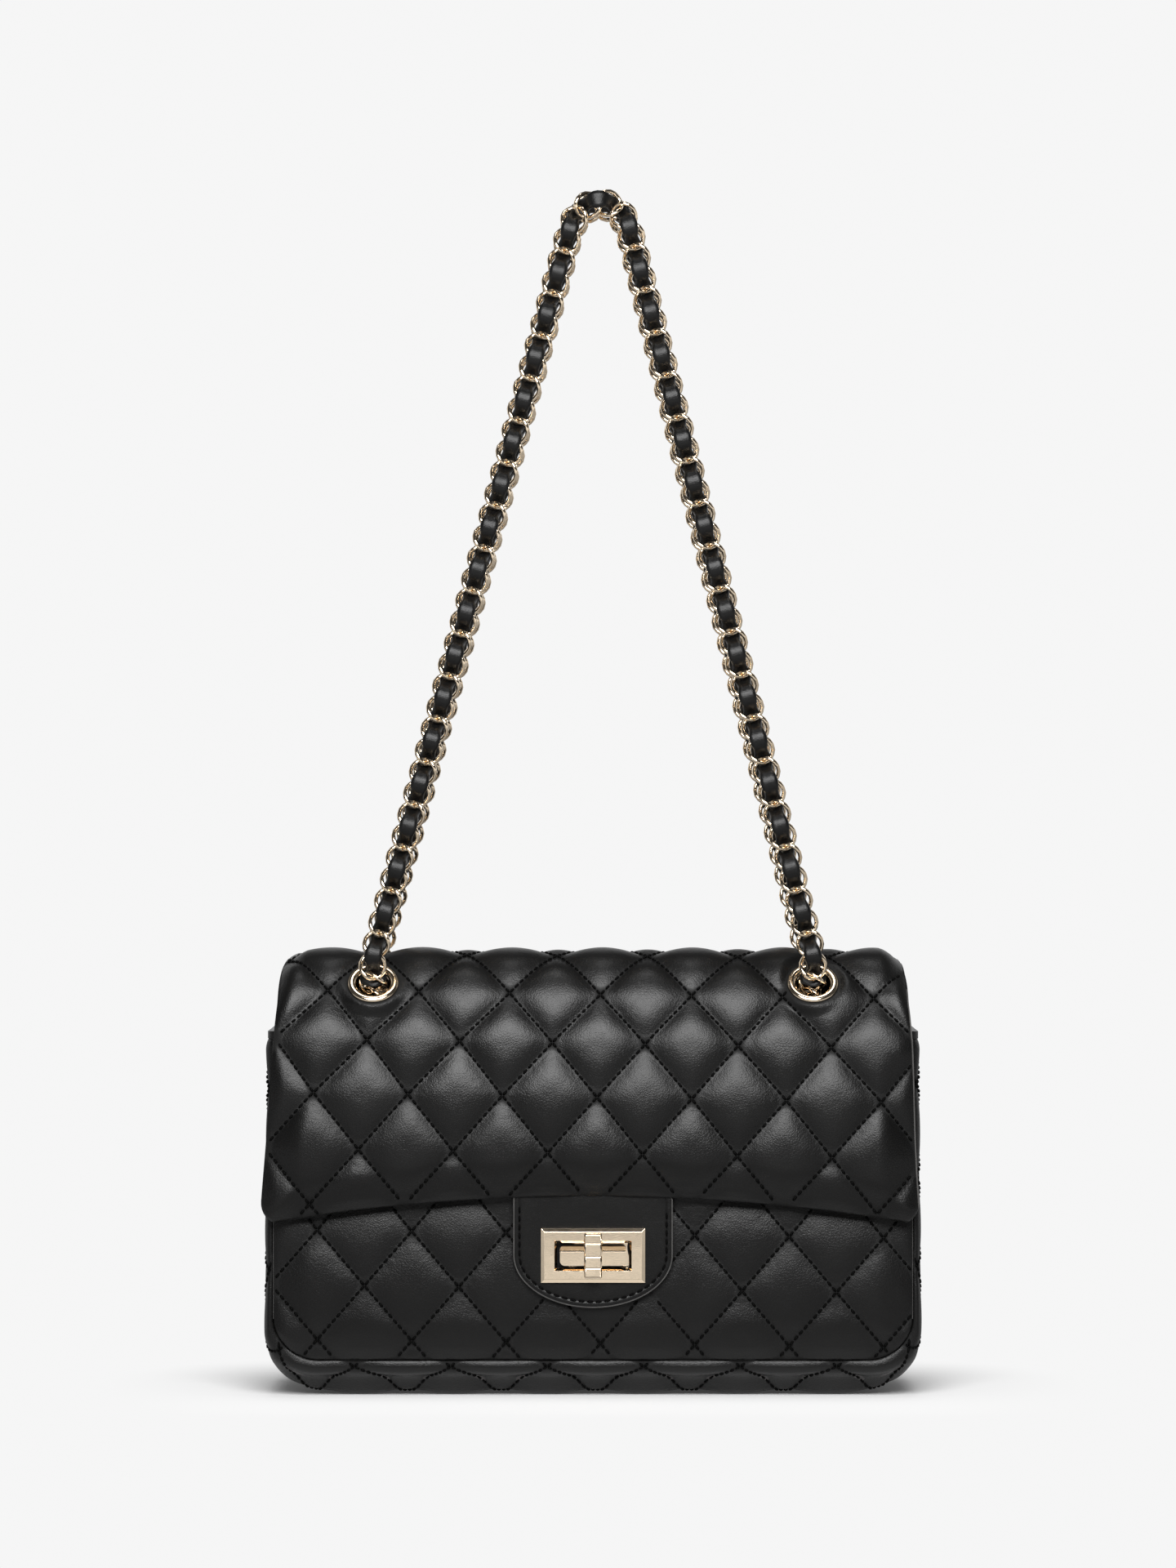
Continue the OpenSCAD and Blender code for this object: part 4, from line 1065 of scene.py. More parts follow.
def rounded_edges(obj, width, segments=3, angle=30, flat=False):
    """Rounds the edges of a piece; with flat, its wide faces stay flat to the eye."""
    select_only(obj)
    if flat:
        obj.data.shade_smooth()
    made = obj.modifiers.new("edges", "BEVEL")
    made.width = width * MM
    made.segments = segments
    made.limit_method = "ANGLE"
    made.angle_limit = math.radians(angle)
    made.harden_normals = flat
    bpy.ops.object.modifier_apply(modifier=made.name)
    if not flat:
        bpy.ops.object.shade_smooth_by_angle(angle=math.radians(40))
    return obj


class BAG_OT_lining(bpy.types.Operator):
    """Lining of the body and flap, the bound mouth and the zip's tape"""
    bl_idname = "bag.lining"
    bl_label = "Lining and Binding"

    def execute(self, context):
        cloth, leather = finish_of("lining_cloth"), finish_of("smooth_leather")
        lining = softened("body_lining", "lining_of_body", cloth, 0.007, 0.0003)
        for v in lining.data.vertices:
            v.co.x *= 0.984
            v.co.z += float(tuck(v.co.y / MM, v.co.z / MM)) * MM
        put(lining, "bag", "lining", "body_lining")
        under = softened("flap_lining", "lining_of_flap", leather, 0.007, 0.0002)
        put(under, "flap", "lining", "flap_lining")
        tape = softened("zip_tape", "tape_of_zip", cloth, 0.006, 0.0001)
        put(tape, "bag", "lining", "zip_tape")
        binding = softened("mouth_binding", "binding_of_mouth", leather, 0.012, 0.0001)
        for v in binding.data.vertices:
            v.co.x *= 0.974
            v.co.y *= 0.965
            v.co.z += 0.85 * (v.co.z - RIM * MM)
        rounded_edges(binding, 1.2, 4)
        put(binding, "bag", "smooth_leather", "mouth_binding")
        tail = softened("tab_tail", "tail_of_tab", leather, 0.006, 0.00005)
        put(tail, "flap", "smooth_leather", "tab_tail")
        return {"FINISHED"}


# Lock tab

def tab_line(inset, count=144):
    """The tab's outline, drawn in by an amount, as a closed line of evenly spread points."""
    half, low = TAB_W / 2, TAB_LOW + TAB_ROUND

    def top_z(x):
        return HEM_H - (HEM_R - math.sqrt(HEM_R ** 2 - x * x)) - 0.02

    a = np.linspace(math.pi, 2 * math.pi, 240)
    lower = np.stack([half * np.cos(a), low + TAB_ROUND * np.sin(a)], 1)
    right = np.stack([np.full(80, half), np.linspace(low, top_z(half), 81)[1:]], 1)
    xs = np.linspace(half, -half, 120)[1:]
    top = np.stack([xs, [top_z(x) for x in xs]], 1)
    left = np.stack([np.full(79, -half), np.linspace(top_z(half), low, 81)[1:-1]], 1)
    line = np.concatenate([lower, right, top, left])
    step = np.linalg.norm(np.roll(line, -1, 0) - line, axis=1)
    s = np.concatenate([[0], np.cumsum(step)])
    closed = np.concatenate([line, line[:1]])
    even = np.linspace(0, s[-1], count, endpoint=False)
    out = np.stack([np.interp(even, s, closed[:, i]) for i in (0, 1)], 1)
    ahead = np.roll(out, -1, 0) - np.roll(out, 1, 0)
    ahead /= np.linalg.norm(ahead, axis=1, keepdims=True)
    inward = np.stack([-ahead[:, 1], ahead[:, 0]], 1)
    soft = (np.roll(inward, 1, 0) + 2 * inward + np.roll(inward, -1, 0))
    soft /= np.linalg.norm(soft, axis=1, keepdims=True)
    at_top = out[:, 1] > top_z(half) - 0.3
    soft[at_top & (out[:, 0] > half - 1)] = (-1, 0)
    soft[at_top & (out[:, 0] < 1 - half)] = (1, 0)
    soft[at_top & (np.abs(out[:, 0]) < half - 1)] = (0, 0)
    moved = out + soft * inset
    moved[at_top, 0] = np.clip(moved[at_top, 0], inset - half, half - inset)
    moved[at_top, 1] = [top_z(x) for x in moved[at_top, 0]]
    return moved


def window_line(like, grow=0.0):
    """The window's outline, with one point for each point of another closed line."""
    angle = np.arctan2(like[:, 1] - LOCK_Z, like[:, 0])
    w, h = WINDOW_W / 2 + grow, WINDOW_H / 2 + grow
    k = 1 / np.maximum(np.abs(np.cos(angle)) / w, np.abs(np.sin(angle)) / h)
    return np.stack([k * np.cos(angle), LOCK_Z + k * np.sin(angle)], 1)


# Rings of the tab from its back round the painted edge to its front: how far each is drawn in, and its depth
TAB_EDGE = ((0.5, TAB_BACK), (0.12, TAB_BACK - 0.25), (0.0, TAB_BACK - 0.8), (0.0, TAB_FRONT + 0.8),
            (0.15, TAB_FRONT + 0.3))
TAB_FACE = ((0.55, TAB_FRONT + 0.05), (1.3, TAB_FRONT - 0.12), (2.0, TAB_FRONT - 0.08),
            (2.4, TAB_FRONT + 0.12), (2.8, TAB_FRONT - 0.08), (3.6, TAB_FRONT - 0.16), (6.0, TAB_FRONT - 0.1))
TAB_SEAM, TAB_SEAM_TOP, TAB_STITCH, TAB_GAP, TAB_THREAD = 2.4, HEM_H - 3.4, 2.6, 3.25, 0.38


class BAG_OT_tab(bpy.types.Operator):
    """Smooth lock tab with its painted edge and a row of stitches"""
    bl_idname = "bag.tab"
    bl_label = "Lock Tab"

    def execute(self, context):
        rings = []
        for inset, y in TAB_EDGE + TAB_FACE:
            line = tab_line(inset)
            rings.append(np.stack([line[:, 0], np.full(len(line), y), line[:, 1]], 1))
        count = len(rings[0])
        edge = tab_line(7.0)
        hole = window_line(edge)
        rings.append(np.stack([hole[:, 0], np.full(count, TAB_FRONT), hole[:, 1]], 1))
        rings.append(np.stack([hole[:, 0], np.full(count, TAB_BACK), hole[:, 1]], 1))
        verts = np.concatenate(rings)
        faces = []
        total = len(rings)
        for r in range(total):
            for i in range(count):
                j = (i + 1) % count
                r2 = (r + 1) % total
                faces.append((r * count + i, r * count + j, r2 * count + j, r2 * count + i))
        tab = new_mesh("leather_tab", verts, faces, [finish_of("smooth_leather"), finish_of("edge_paint_and_highlight")])
        # The edge paint wraps from the tab's back round its edge onto the front's rim, where its lighter
        # colour is partly a painted highlight.
        which = np.zeros(len(tab.data.polygons), np.int32)
        which[:len(TAB_EDGE) * count] = 1
        tab.data.polygons.foreach_set("material_index", which)
        outward(tab)
        select_only(tab)
        bpy.ops.object.shade_smooth_by_angle(angle=math.radians(50))
        put(tab, "flap", "smooth_leather", "lock_tab")
        line = tab_line(TAB_SEAM, 900)
        keep = [p for p in line if p[1] < TAB_SEAM_TOP]
        start = max(range(len(keep)), key=lambda i: keep[i][1] if keep[i][0] < 0 else -1)
        path = np.array(keep[start:] + keep[:start])
        s = np.concatenate([[0], np.cumsum(np.linalg.norm(np.diff(path, axis=0), axis=1))])
        centre = np.arange(2.0, s[-1] - 2.0, TAB_GAP)
        ends = []
        for shift in (-TAB_STITCH / 2, TAB_STITCH / 2):
            q = np.stack([np.interp(centre + shift, s, path[:, i]) for i in (0, 1)], 1)
            ends.append(np.stack([q[:, 0], np.full(len(q), TAB_FRONT - 0.15), q[:, 1]], 1))
        out = np.tile(np.array([[0, -1.0, 0]]), (len(centre), 1))
        row = stitches("tab_stitches", np.stack(ends, 1), out, TAB_THREAD, finish_of("thread"))
        put(row, "flap", "smooth_leather")
        return {"FINISHED"}


# Metal pieces

def new_object(name):
    obj = bpy.context.view_layer.objects.active
    obj.name = name
    obj.data.name = name
    obj.data.materials.clear()
    obj.data.materials.append(finish_of("pale_gold"))
    return obj


def clear_selection():
    bpy.ops.object.select_all(action="DESELECT")


def select_where(obj, test, faces=False):
    """Selects the vertices that pass a test, the edges between them and, where told, the faces."""
    for v in obj.data.vertices:
        v.select = test(v)
    for e in obj.data.edges:
        e.select = all(obj.data.vertices[i].select for i in e.vertices)
    for f in obj.data.polygons:
        f.select = faces and all(obj.data.vertices[i].select for i in f.vertices)
    bpy.ops.object.mode_set(mode="EDIT")


def cube(name, at, size, turn=0.0):
    """A block with its place and size in millimetres."""
    clear_selection()
    bpy.ops.mesh.primitive_cube_add(
        size=1, location=Vector(at) * MM, rotation=(turn, 0, 0), scale=Vector(size) * MM)
    return settle(new_object(name))


def settle(obj):
    """Puts an object's place into its mesh."""
    select_only(obj)
    bpy.ops.object.transform_apply(location=True, rotation=True, scale=True)
    return obj


def turned(name, profile, sides=64):
    """A turned ring: a circle extruded and resized along a closed profile of (radius, height)."""
    clear_selection()
    r0, z0 = profile[0]
    bpy.ops.mesh.primitive_circle_add(vertices=sides, radius=r0 * MM, fill_type="NOTHING",
                                      location=(0, 0, z0 * MM))
    obj = settle(new_object(name))
    bpy.ops.object.mode_set(mode="EDIT")
    bpy.ops.mesh.select_all(action="SELECT")
    for (ra, za), (rb, zb) in zip(profile, profile[1:]):
        bpy.ops.mesh.extrude_region_move(TRANSFORM_OT_translate={"value": (0, 0, (zb - za) * MM)})
        bpy.ops.transform.resize(value=(rb / ra, rb / ra, 1), center_override=(0, 0, zb * MM))
    bpy.ops.object.mode_set(mode="OBJECT")
    count = len(obj.data.vertices)
    select_where(obj, lambda v: v.index < sides or v.index >= count - sides)
    bpy.ops.mesh.select_mode(type="EDGE")
    bpy.ops.mesh.bridge_edge_loops()
    bpy.ops.mesh.select_mode(type="VERT")
    bpy.ops.mesh.select_all(action="SELECT")
    bpy.ops.mesh.remove_doubles(threshold=1e-6)
    bpy.ops.mesh.normals_make_consistent(inside=False)
    bpy.ops.object.mode_set(mode="OBJECT")
    obj.data.shade_smooth()
    return obj


def copied(obj, name, matrix):
    mesh = obj.data.copy()
    mesh.name = name
    mesh.transform(matrix)
    made = bpy.data.objects.new(name, mesh)
    bpy.context.scene.collection.objects.link(made)
    return made


def eyelet_matrix(side, which):
    (ey, ez), turn = EYELETS[which]
    return (Matrix.Translation(Vector((side * EYELET_X, ey, ez)) * MM)
            @ Matrix.Rotation(turn, 4, "X"))


class BAG_OT_eyelets(bpy.types.Operator):
    """Four turned eyelets with rolled rims"""
    bl_idname = "bag.eyelets"
    bl_label = "Eyelets"

    def execute(self, context):
        top, r0, r1 = FLANGE_T, HOLE_R, FLANGE_R
        mid = (r0 + r1) / 2
        rim = [(r1, 0.02), (r1 - 0.02, top * 0.45), (r1 - 0.35, top * 0.78), (r1 - 0.9, top * 0.96),
               (mid, top), (r0 + 0.9, top * 0.9), (r0 + 0.35, top * 0.55), (r0 + 0.06, top * 0.1)]
        for which, body, deep in ((0, "flap", 6.6), (1, "bag", 6.9)):
            profile = [(r0 + BARREL_T, -deep), (r0 + BARREL_T, 0.02), *rim, (r0, -0.8), (r0, -deep)]
            ring = turned(f"eyelet_{body}", profile)
            for side, word in ((-1, "left"), (1, "right")):
                node = f"{'front' if which == 0 else 'rear'}_eyelet_{word}"
                made = copied(ring, f"turned_{node}", eyelet_matrix(side, which))
                put(made, body, "gold_metal", node)
            bpy.data.objects.remove(ring)
        return {"FINISHED"}


def plate(name, w, h, t, corner, at):
    """A plate facing the front, with rounded corners."""
    obj = cube(name, at, (w, t, h))
    bpy.context.tool_settings.mesh_select_mode = (False, True, False)
    for part in (*obj.data.vertices, *obj.data.edges, *obj.data.polygons):
        part.select = False
    for e in obj.data.edges:
        a, b = (obj.data.vertices[i] for i in e.vertices)
        if abs(a.co.y - b.co.y) > t * MM / 2:
            e.select = a.select = b.select = True
    bpy.ops.object.mode_set(mode="EDIT")
    bpy.ops.mesh.bevel(offset=corner * MM, segments=6, affect="EDGES")
    bpy.ops.object.mode_set(mode="OBJECT")
    return obj


class BAG_OT_lock(bpy.types.Operator):
    """Bevelled lock frame, base plate and grooved knob bar"""
    bl_idname = "bag.lock"
    bl_label = "Turn Lock"

    def execute(self, context):
        body = lock_window("bevelled_lock_frame", slope=1.35, rise=0.9, flare=1.0, deep=1.8)
        rounded_edges(body, 0.14, 3, 20)
        body.data.shade_flat()
        put(body, "flap", "gold_metal", "lock_frame")
        base = copy_of("lock_base_plate", "bevelled_base_plate")
        base.data.materials.append(finish_of("pale_gold"))
        cut_slope(base, deep=1.9, tall=2.5)
        rounded_edges(base, 0.12, 2, 20)
        base.data.shade_flat()
        put(base, "bag", "gold_metal", "lock_base_plate")
        knob = plate("grooved_knob_bar", KNOB_W, KNOB_L, KNOB_T, 0.9, (0, KNOB_Y - KNOB_T / 2, LOCK_Z))
        ringed(knob, KNOB_RINGS, half=0.42, deep=0.35)
        rounded_edges(knob, 0.55, 4, 50, True)
        put(knob, "knob", "gold_metal", "knob_bar")
        return {"FINISHED"}


def cut_slope(obj, deep, tall):
    """Cuts the base plate's upper edge back to a slope, with a tilted block."""
    tilt = math.atan2(deep, tall)
    w, t, h = 40, 6, 12
    at = (0, BASE_FRONT + deep / 2 - t / 2 * math.cos(tilt),
          LOCK_Z + BASE_H / 2 - tall / 2 + t / 2 * math.sin(tilt))
    cutter = cube("base_cutter", at, (w, t, h), -tilt)
    select_only(obj)
    made = obj.modifiers.new("cut", "BOOLEAN")
    made.object = cutter
    made.operation = "DIFFERENCE"
    made.solver = "MANIFOLD"
    bpy.ops.object.modifier_apply(modifier=made.name)
    bpy.data.objects.remove(cutter)


def select_end(obj, front):
    """Selects the face at the very front or back of a piece and goes into edit mode."""
    select_only(obj)
    sign = 1 if front else -1
    at = min(sign * v.co.y for v in obj.data.vertices)
    select_where(obj, lambda v: sign * v.co.y < at + 1e-6, faces=True)
    bpy.ops.mesh.select_mode(type="FACE")


def narrowed(width, height, to_width, to_height):
    """Draws the selected face in to another width and height."""
    inset = (width - to_width) / 2
    bpy.ops.mesh.inset(thickness=inset * MM, depth=0)
    bpy.ops.transform.resize(value=(1, 1, to_height / (height - 2 * inset)),
                             center_override=(0, 0, LOCK_Z * MM))


def lock_window(name, slope, rise, flare, deep):
    """A plate with mitred outer slopes and a window whose walls flare towards the front."""
    thick = FRAME_T - rise
    obj = cube(name, (0, TAB_FRONT - thick / 2, LOCK_Z), (FRAME_W, thick, FRAME_H))
    select_end(obj, True)
    bpy.ops.mesh.inset(thickness=slope * MM, depth=rise * MM)
    narrowed(FRAME_W - 2 * slope, FRAME_H - 2 * slope, WINDOW_W + 2 * flare, WINDOW_H + 2 * flare)
    bpy.ops.mesh.inset(thickness=flare * MM, depth=-deep * MM)
    bpy.ops.mesh.delete(type="FACE")
    bpy.ops.object.mode_set(mode="OBJECT")
    select_end(obj, False)
    narrowed(FRAME_W, FRAME_H, WINDOW_W, WINDOW_H)
    bpy.ops.mesh.delete(type="FACE")
    bpy.ops.mesh.select_mode(type="EDGE")
    bpy.ops.mesh.select_all(action="DESELECT")
    bpy.ops.mesh.select_non_manifold()
    bpy.ops.mesh.bridge_edge_loops()
    bpy.ops.object.mode_set(mode="OBJECT")
    return obj


def ringed(obj, heights, half, deep):
    """Shallow rings pressed round an upright bar."""
    middle = (KNOB_Y - KNOB_T / 2) * MM
    for height in heights:
        at = LOCK_Z + height
        for shift in (-half, 0, half):
            select_only(obj)
            bpy.ops.object.mode_set(mode="EDIT")
            bpy.ops.mesh.select_all(action="SELECT")
            bpy.ops.mesh.bisect(plane_co=(0, middle, (at + shift) * MM), plane_no=(0, 0, 1))
            bpy.ops.object.mode_set(mode="OBJECT")
        select_where(obj, lambda v: abs(v.co.z - at * MM) < 1e-5)
        bpy.ops.mesh.select_mode(type="VERT")
        bpy.ops.transform.resize(value=(1 - 2 * deep / KNOB_W, 1 - 2 * deep / KNOB_T, 1),
                                 center_override=(0, middle, at * MM))
        bpy.ops.object.mode_set(mode="OBJECT")


class BAG_OT_zip(bpy.types.Operator):
    """Slider and puller of the inner zip"""
    bl_idname = "bag.zip"
    bl_label = "Zip Slider"

    def execute(self, context):
        for node, name in (("zip_slider", "rounded_zip_slider"), ("zip_puller", "rounded_zip_puller")):
            obj = copy_of(node, name)
            obj.data.materials.append(finish_of("pale_gold"))
            rounded_edges(obj, 0.2, 2)
            put(obj, node, "gold_metal", node)
        return {"FINISHED"}


# Chain and lace

@functools.lru_cache(maxsize=None)
def strap_numbers():
    """The strap's outline seen from the front: two straight strands and the bend at the top."""
    bend_z = STRAP_H - APEX_R
    turns, lens = [], []
    for dx in (EYELET_X + APEX_X, EYELET_X - APEX_X):
        far = math.hypot(dx, bend_z)
        turns.append(math.atan2(dx, bend_z) - math.asin(APEX_R / far))
        lens.append(math.sqrt(far ** 2 - APEX_R ** 2))
    bend = APEX_R * (math.pi - sum(turns))
    total = sum(lens) + bend
    step = (total - 2 * LINK_R) / (STRAP_LINKS - 1)
    return bend_z, turns, lens, bend, total, step


def strap_point(s):
    """Place on the strap's middle line, in its own plane, at a length from its left root."""
    bend_z, turns, lens, bend, total, _ = strap_numbers()
    if s < 0 or s > total:
        return np.array([-EYELET_X if s < 0 else EYELET_X, 0, min(s, total - s)])
    if s < lens[0]:
        return np.array([-EYELET_X + s * math.sin(turns[0]), 0, s * math.cos(turns[0])])
    if s < lens[0] + bend:
        a = turns[0] + (s - lens[0]) / APEX_R
        return np.array([APEX_X - APEX_R * math.cos(a), 0, bend_z + APEX_R * math.sin(a)])
    back = total - s
    return np.array([EYELET_X - back * math.sin(turns[1]), 0, back * math.cos(turns[1])])


def strap_matrix(front):
    """Stands the strap's plane on its root, leaning a little towards the other strap."""
    root, lean = STRAP_ROOTS[0 if front else 1], FRONT_LEAN if front else REAR_LEAN
    return Matrix.Translation(Vector((0, *root)) * MM) @ Matrix.Rotation(-lean, 4, "X")


def link_mesh(pitch, half, wire, twist=44.0, around=18, sides=6):
    """One curb link: an oval of wire, twisted about its length."""
    long = (pitch + 2 * wire + 0.1) / 2
    t = np.linspace(0, 2 * math.pi, around, endpoint=False)

    def line(t):
        z = long * np.cos(t)
        x = half * np.sign(np.sin(t)) * np.abs(np.sin(t)) ** 0.86
        turn = np.radians(-twist * z / long)
        return np.stack([x * np.cos(turn), x * np.sin(turn), z], -1)

    p = line(t)
    ahead = line(t + 0.01) - line(t - 0.01)
    ahead /= np.linalg.norm(ahead, axis=1, keepdims=True)
    turn = np.radians(-twist * p[:, 2] / long)
    flat = np.stack([-np.sin(turn), np.cos(turn), np.zeros_like(turn)], -1)
    flat -= ahead * (flat * ahead).sum(1, keepdims=True)
    flat /= np.linalg.norm(flat, axis=1, keepdims=True)
    other = np.cross(ahead, flat)
    verts = []
    for i in range(sides):
        a = 2 * math.pi * i / sides
        verts.append(p + (flat * math.cos(a) + other * math.sin(a)) * wire)
    verts = np.stack(verts, 1).reshape(-1, 3)
    faces = []
    for i in range(around):
        j = (i + 1) % around
        for k in range(sides):
            m = (k + 1) % sides
            faces.append((i * sides + k, j * sides + k, j * sides + m, i * sides + m))
    return verts, np.array(faces)


def moved(verts, matrix):
    """Points in millimetres, moved by a matrix in metres."""
    four = np.concatenate([verts * MM, np.ones((len(verts), 1))], 1)
    return (four @ np.array(matrix).T)[:, :3] / MM


def chain(name, matrices):
    """Links of one shape, one at each matrix, in one mesh."""
    s = sizes()
    verts, faces = link_mesh(LINK_STEP, s.link_half / MM, s.wire / MM)
    all_verts = [moved(verts, m) for m in matrices]
    all_faces = [faces + i * len(verts) for i in range(len(matrices))]
    return outward(new_mesh(name, np.concatenate(all_verts), np.concatenate(all_faces),
                            [finish_of("pale_gold")]))


def strap_links(first, last, front):
    """Matrices of the links from first to last along a strap."""
    step = strap_numbers()[-1]
    root = strap_matrix(front)
    made = []

    def joint(k):
        return strap_point(LINK_R + (k + 0.5) * step)

    for k in range(first, last + 1):
        mid, d = (joint(k - 1) + joint(k)) / 2, joint(k) - joint(k - 1)
        turn = math.atan2(d[0], d[2])
        made.append(root @ Matrix.Translation(Vector(mid) * MM) @ Matrix.Rotation(turn, 4, "Y"))
    return made


def inner_run():
    """Places and directions of the links that hang inside, between a front and a rear eyelet."""
    up = np.array([math.sin(math.radians(45)), math.cos(math.radians(45))])
    a = np.array(FRONT_EYELET) - LINK_R * np.array([-up[0], up[1]])
    b = np.array(REAR_EYELET) - LINK_R * up
    chord = np.linalg.norm(b - a)
    run = 2 * LINK_HANG + (RUN_LINKS - 1) * LINK_STEP
    lo, hi = math.radians(1), math.radians(120)
    for _ in range(50):
        mid = (lo + hi) / 2
        lo, hi = (mid, hi) if math.sin(mid) / mid > chord / run else (lo, mid)
    half = (lo + hi) / 2
    r = chord / 2 / math.sin(half)
    tilt = math.atan2(b[1] - a[1], b[0] - a[0])
    centre = (a + b) / 2 + r * math.cos(half) * np.array([-math.sin(tilt), math.cos(tilt)])
    for k in range(RUN_LINKS):
        s = LINK_HANG + k * LINK_STEP
        turn = tilt - half + s / r
        yield centre + r * np.array([math.sin(turn), -math.cos(turn)]), turn


class BAG_OT_chain(bpy.types.Operator):
    """Twisted curb links of the strap, of the eyelets and of the run inside the bag"""
    bl_idname = "bag.chain"
    bl_label = "Curb Chain"

    def execute(self, context):
        _, _, lens, _, _, step = strap_numbers()
        a = int((lens[0] - LINK_R) / step) - 1
        b = STRAP_LINKS - 1 - (int((lens[1] - LINK_R) / step) - 1)
        for front, body in ((True, "front_strap"), (False, "rear_strap")):
            parts = ((0, a - 1, "left"), (a, b, "apex"), (b + 1, STRAP_LINKS - 1, "right"))
            for first, last, word in parts:
                made = chain(f"{body}_curb_{word}", strap_links(first, last, front))
                put(made, body, "gold_metal", f"{body}_links_{word}")
        leads = []
        for which, lean in ((0, FRONT_LEAN), (1, REAR_LEAN)):
            y = LEAD_PINS[which][0] + LINK_HANG * math.sin(lean)
            z = LEAD_PINS[which][1] + LINK_HANG * math.cos(lean)
            leads.append([Matrix.Translation(Vector((side * EYELET_X, y, z)) * MM)
                          @ Matrix.Rotation(-lean, 4, "X") for side in (-1, 1)])
        eyes = [[eyelet_matrix(side, which) for side in (-1, 1)] for which in (0, 1)]
        put(chain("front_eyelet_curb", eyes[0]), "flap", "gold_metal", "front_eyelet_links")
        put(chain("front_lead_curb", leads[0]), "front_lead", "gold_metal", "front_lead_links")
        put(chain("rear_eyelet_curb", eyes[1] + leads[1]), "bag", "gold_metal", "rear_eyelet_links")
        for side, word in ((-1, "left"), (1, "right")):
            run = [Matrix.Translation(Vector((side * EYELET_X, *at)) * MM)
                   @ Matrix.Rotation(turn - math.pi / 2, 4, "X") for at, turn in inner_run()]
            made = chain(f"inner_curb_{word}", run)
            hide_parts(f"inner_chain_{word}")
            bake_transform(made)
        return {"FINISHED"}


def lace_section():
    """Section of the lace: two soft rolls with a crease between them."""
    points = []
    for a in np.linspace(0, 2 * math.pi, 16, endpoint=False):
        w = math.copysign(abs(math.cos(a)) ** 0.8, math.cos(a))
        t = math.sin(a) * (0.62 + 0.55 * abs(math.sin(2 * a)) ** 0.8)
        points.append((w, t))
    return np.array(points)


def lace(name, s0, s1, front):
    """A leather lace woven behind and in front of the chain's joints."""
    step = strap_numbers()[-1]
    count = int((s1 - s0) / step * 6)
    s = np.linspace(s0, s1, count)
    k = (s - LINK_R) / step - 0.5
    wave = np.cos(math.pi * k)
    y = LACE_REACH * np.tanh(1.5 * wave) / math.tanh(1.5)
    mid = np.array([strap_point(v) for v in s])
    mid[:, 1] = y
    ahead = np.gradient(mid, axis=0)
    ahead /= np.linalg.norm(ahead, axis=1, keepdims=True)
    plain = np.array([strap_point(v + 0.5) - strap_point(v - 0.5) for v in s])
    plain /= np.linalg.norm(plain, axis=1, keepdims=True)
    across = np.stack([plain[:, 2], np.zeros(count), -plain[:, 0]], 1)
    out = np.cross(ahead, across)
    width = sizes().lace_width / MM / 2 * (0.74 + 0.26 * np.abs(wave))
    from_end = np.minimum(s - s0, s1 - s)
    width = width * (1 + 0.5 * smooth((3 - from_end + 5) / 4))
    ends = smooth(from_end / 1.5 + 0.35)
    section = lace_section()
    verts = []
    for i in range(count):
        w = section[:, :1] * width[i] * ends[i]
        t = section[:, 1:] * LACE_THICK * ends[i]
        verts.append(mid[i] + across[i] * w + out[i] * t)
    verts = moved(np.concatenate(verts), strap_matrix(front))
    sides = len(section)
    faces = [(i * sides + j, i * sides + (j + 1) % sides, (i + 1) * sides + (j + 1) % sides,
              (i + 1) * sides + j) for i in range(count - 1) for j in range(sides)]
    last = (count - 1) * sides
    faces += [tuple(range(sides))[::-1], tuple(range(last, last + sides))]
    return outward(new_mesh(name, verts, faces, [finish_of("smooth_leather")]))


class BAG_OT_lace(bpy.types.Operator):
    """Leather laces woven through the chain"""
    bl_idname = "bag.lace"
    bl_label = "Woven Lace"

    def execute(self, context):
        total = strap_numbers()[4]
        for front, body in ((True, "front_strap"), (False, "rear_strap")):
            made = lace(f"{body}_woven_lace", -LACE_TAIL, total + LACE_TAIL, front)
            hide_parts(f"{body}_lace")
            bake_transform(made)
        return {"FINISHED"}


class BAG_OT_finishes(bpy.types.Operator):
    """Finishes of the CAD pieces that stay as they are"""
    bl_idname = "bag.finishes"
    bl_label = "Finishes"

    def execute(self, context):
        kept = {
            "grey_board": ("base_board", "front_board", "back_board"),
            "pale_gold": ("front_washers", "rear_washers", "lock_prongs", "lock_clamp_plate",
                          "knob_post", "knob_spring", "lock_frame_back", "lock_frame_rivets", "zip_teeth"),
        }
        for name, nodes in kept.items():
            for node in nodes:
                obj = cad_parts[node]
                for slot in obj.material_slots:
                    slot.material = finish_of(name)
        return {"FINISHED"}


# Floor, light and camera, in metres; each ramp has its start, its end and the values at both
FLOOR_SIZE = 40
SHADE_HALF = (0.112, 0.018)
SHADE_FADE = (0.006, 0.085, 0.05, 1.0)
# The floor's painted reflection: where its glow for mirrored rays fades out in front, and how it is dimmed
# close to the bag.
FLOOR_NEAR = (-0.94, -0.80, 0.05, 1.0)
FLOOR_CLOSE = (-0.50, -0.28, 0.0, 0.55)
SKY_BEHIND = (-0.1, 0.6, 0.05, 1.0)
SKY_UNDER = (0.35, 0.75, 1.0, 0.10)
SKY_FILL = 0.22
BOX_WIDE, BOX_TALL, BOX_POWER = 0.62, 0.46, 10.5
BOX_AT, BOX_AIM = Vector((0.0, -0.72, 0.60)), Vector((0, -0.03, 0.12))
SUN_STRENGTH, SUN_SPREAD, SUN_TILT = 0.36, math.radians(16), math.radians(4)
CAMERA_AT = (-0.0019, -2.0, 0.2327)
SENSOR, VIEW_AWAY, VIEW_TALL = 36.0, 2.0, 0.6036


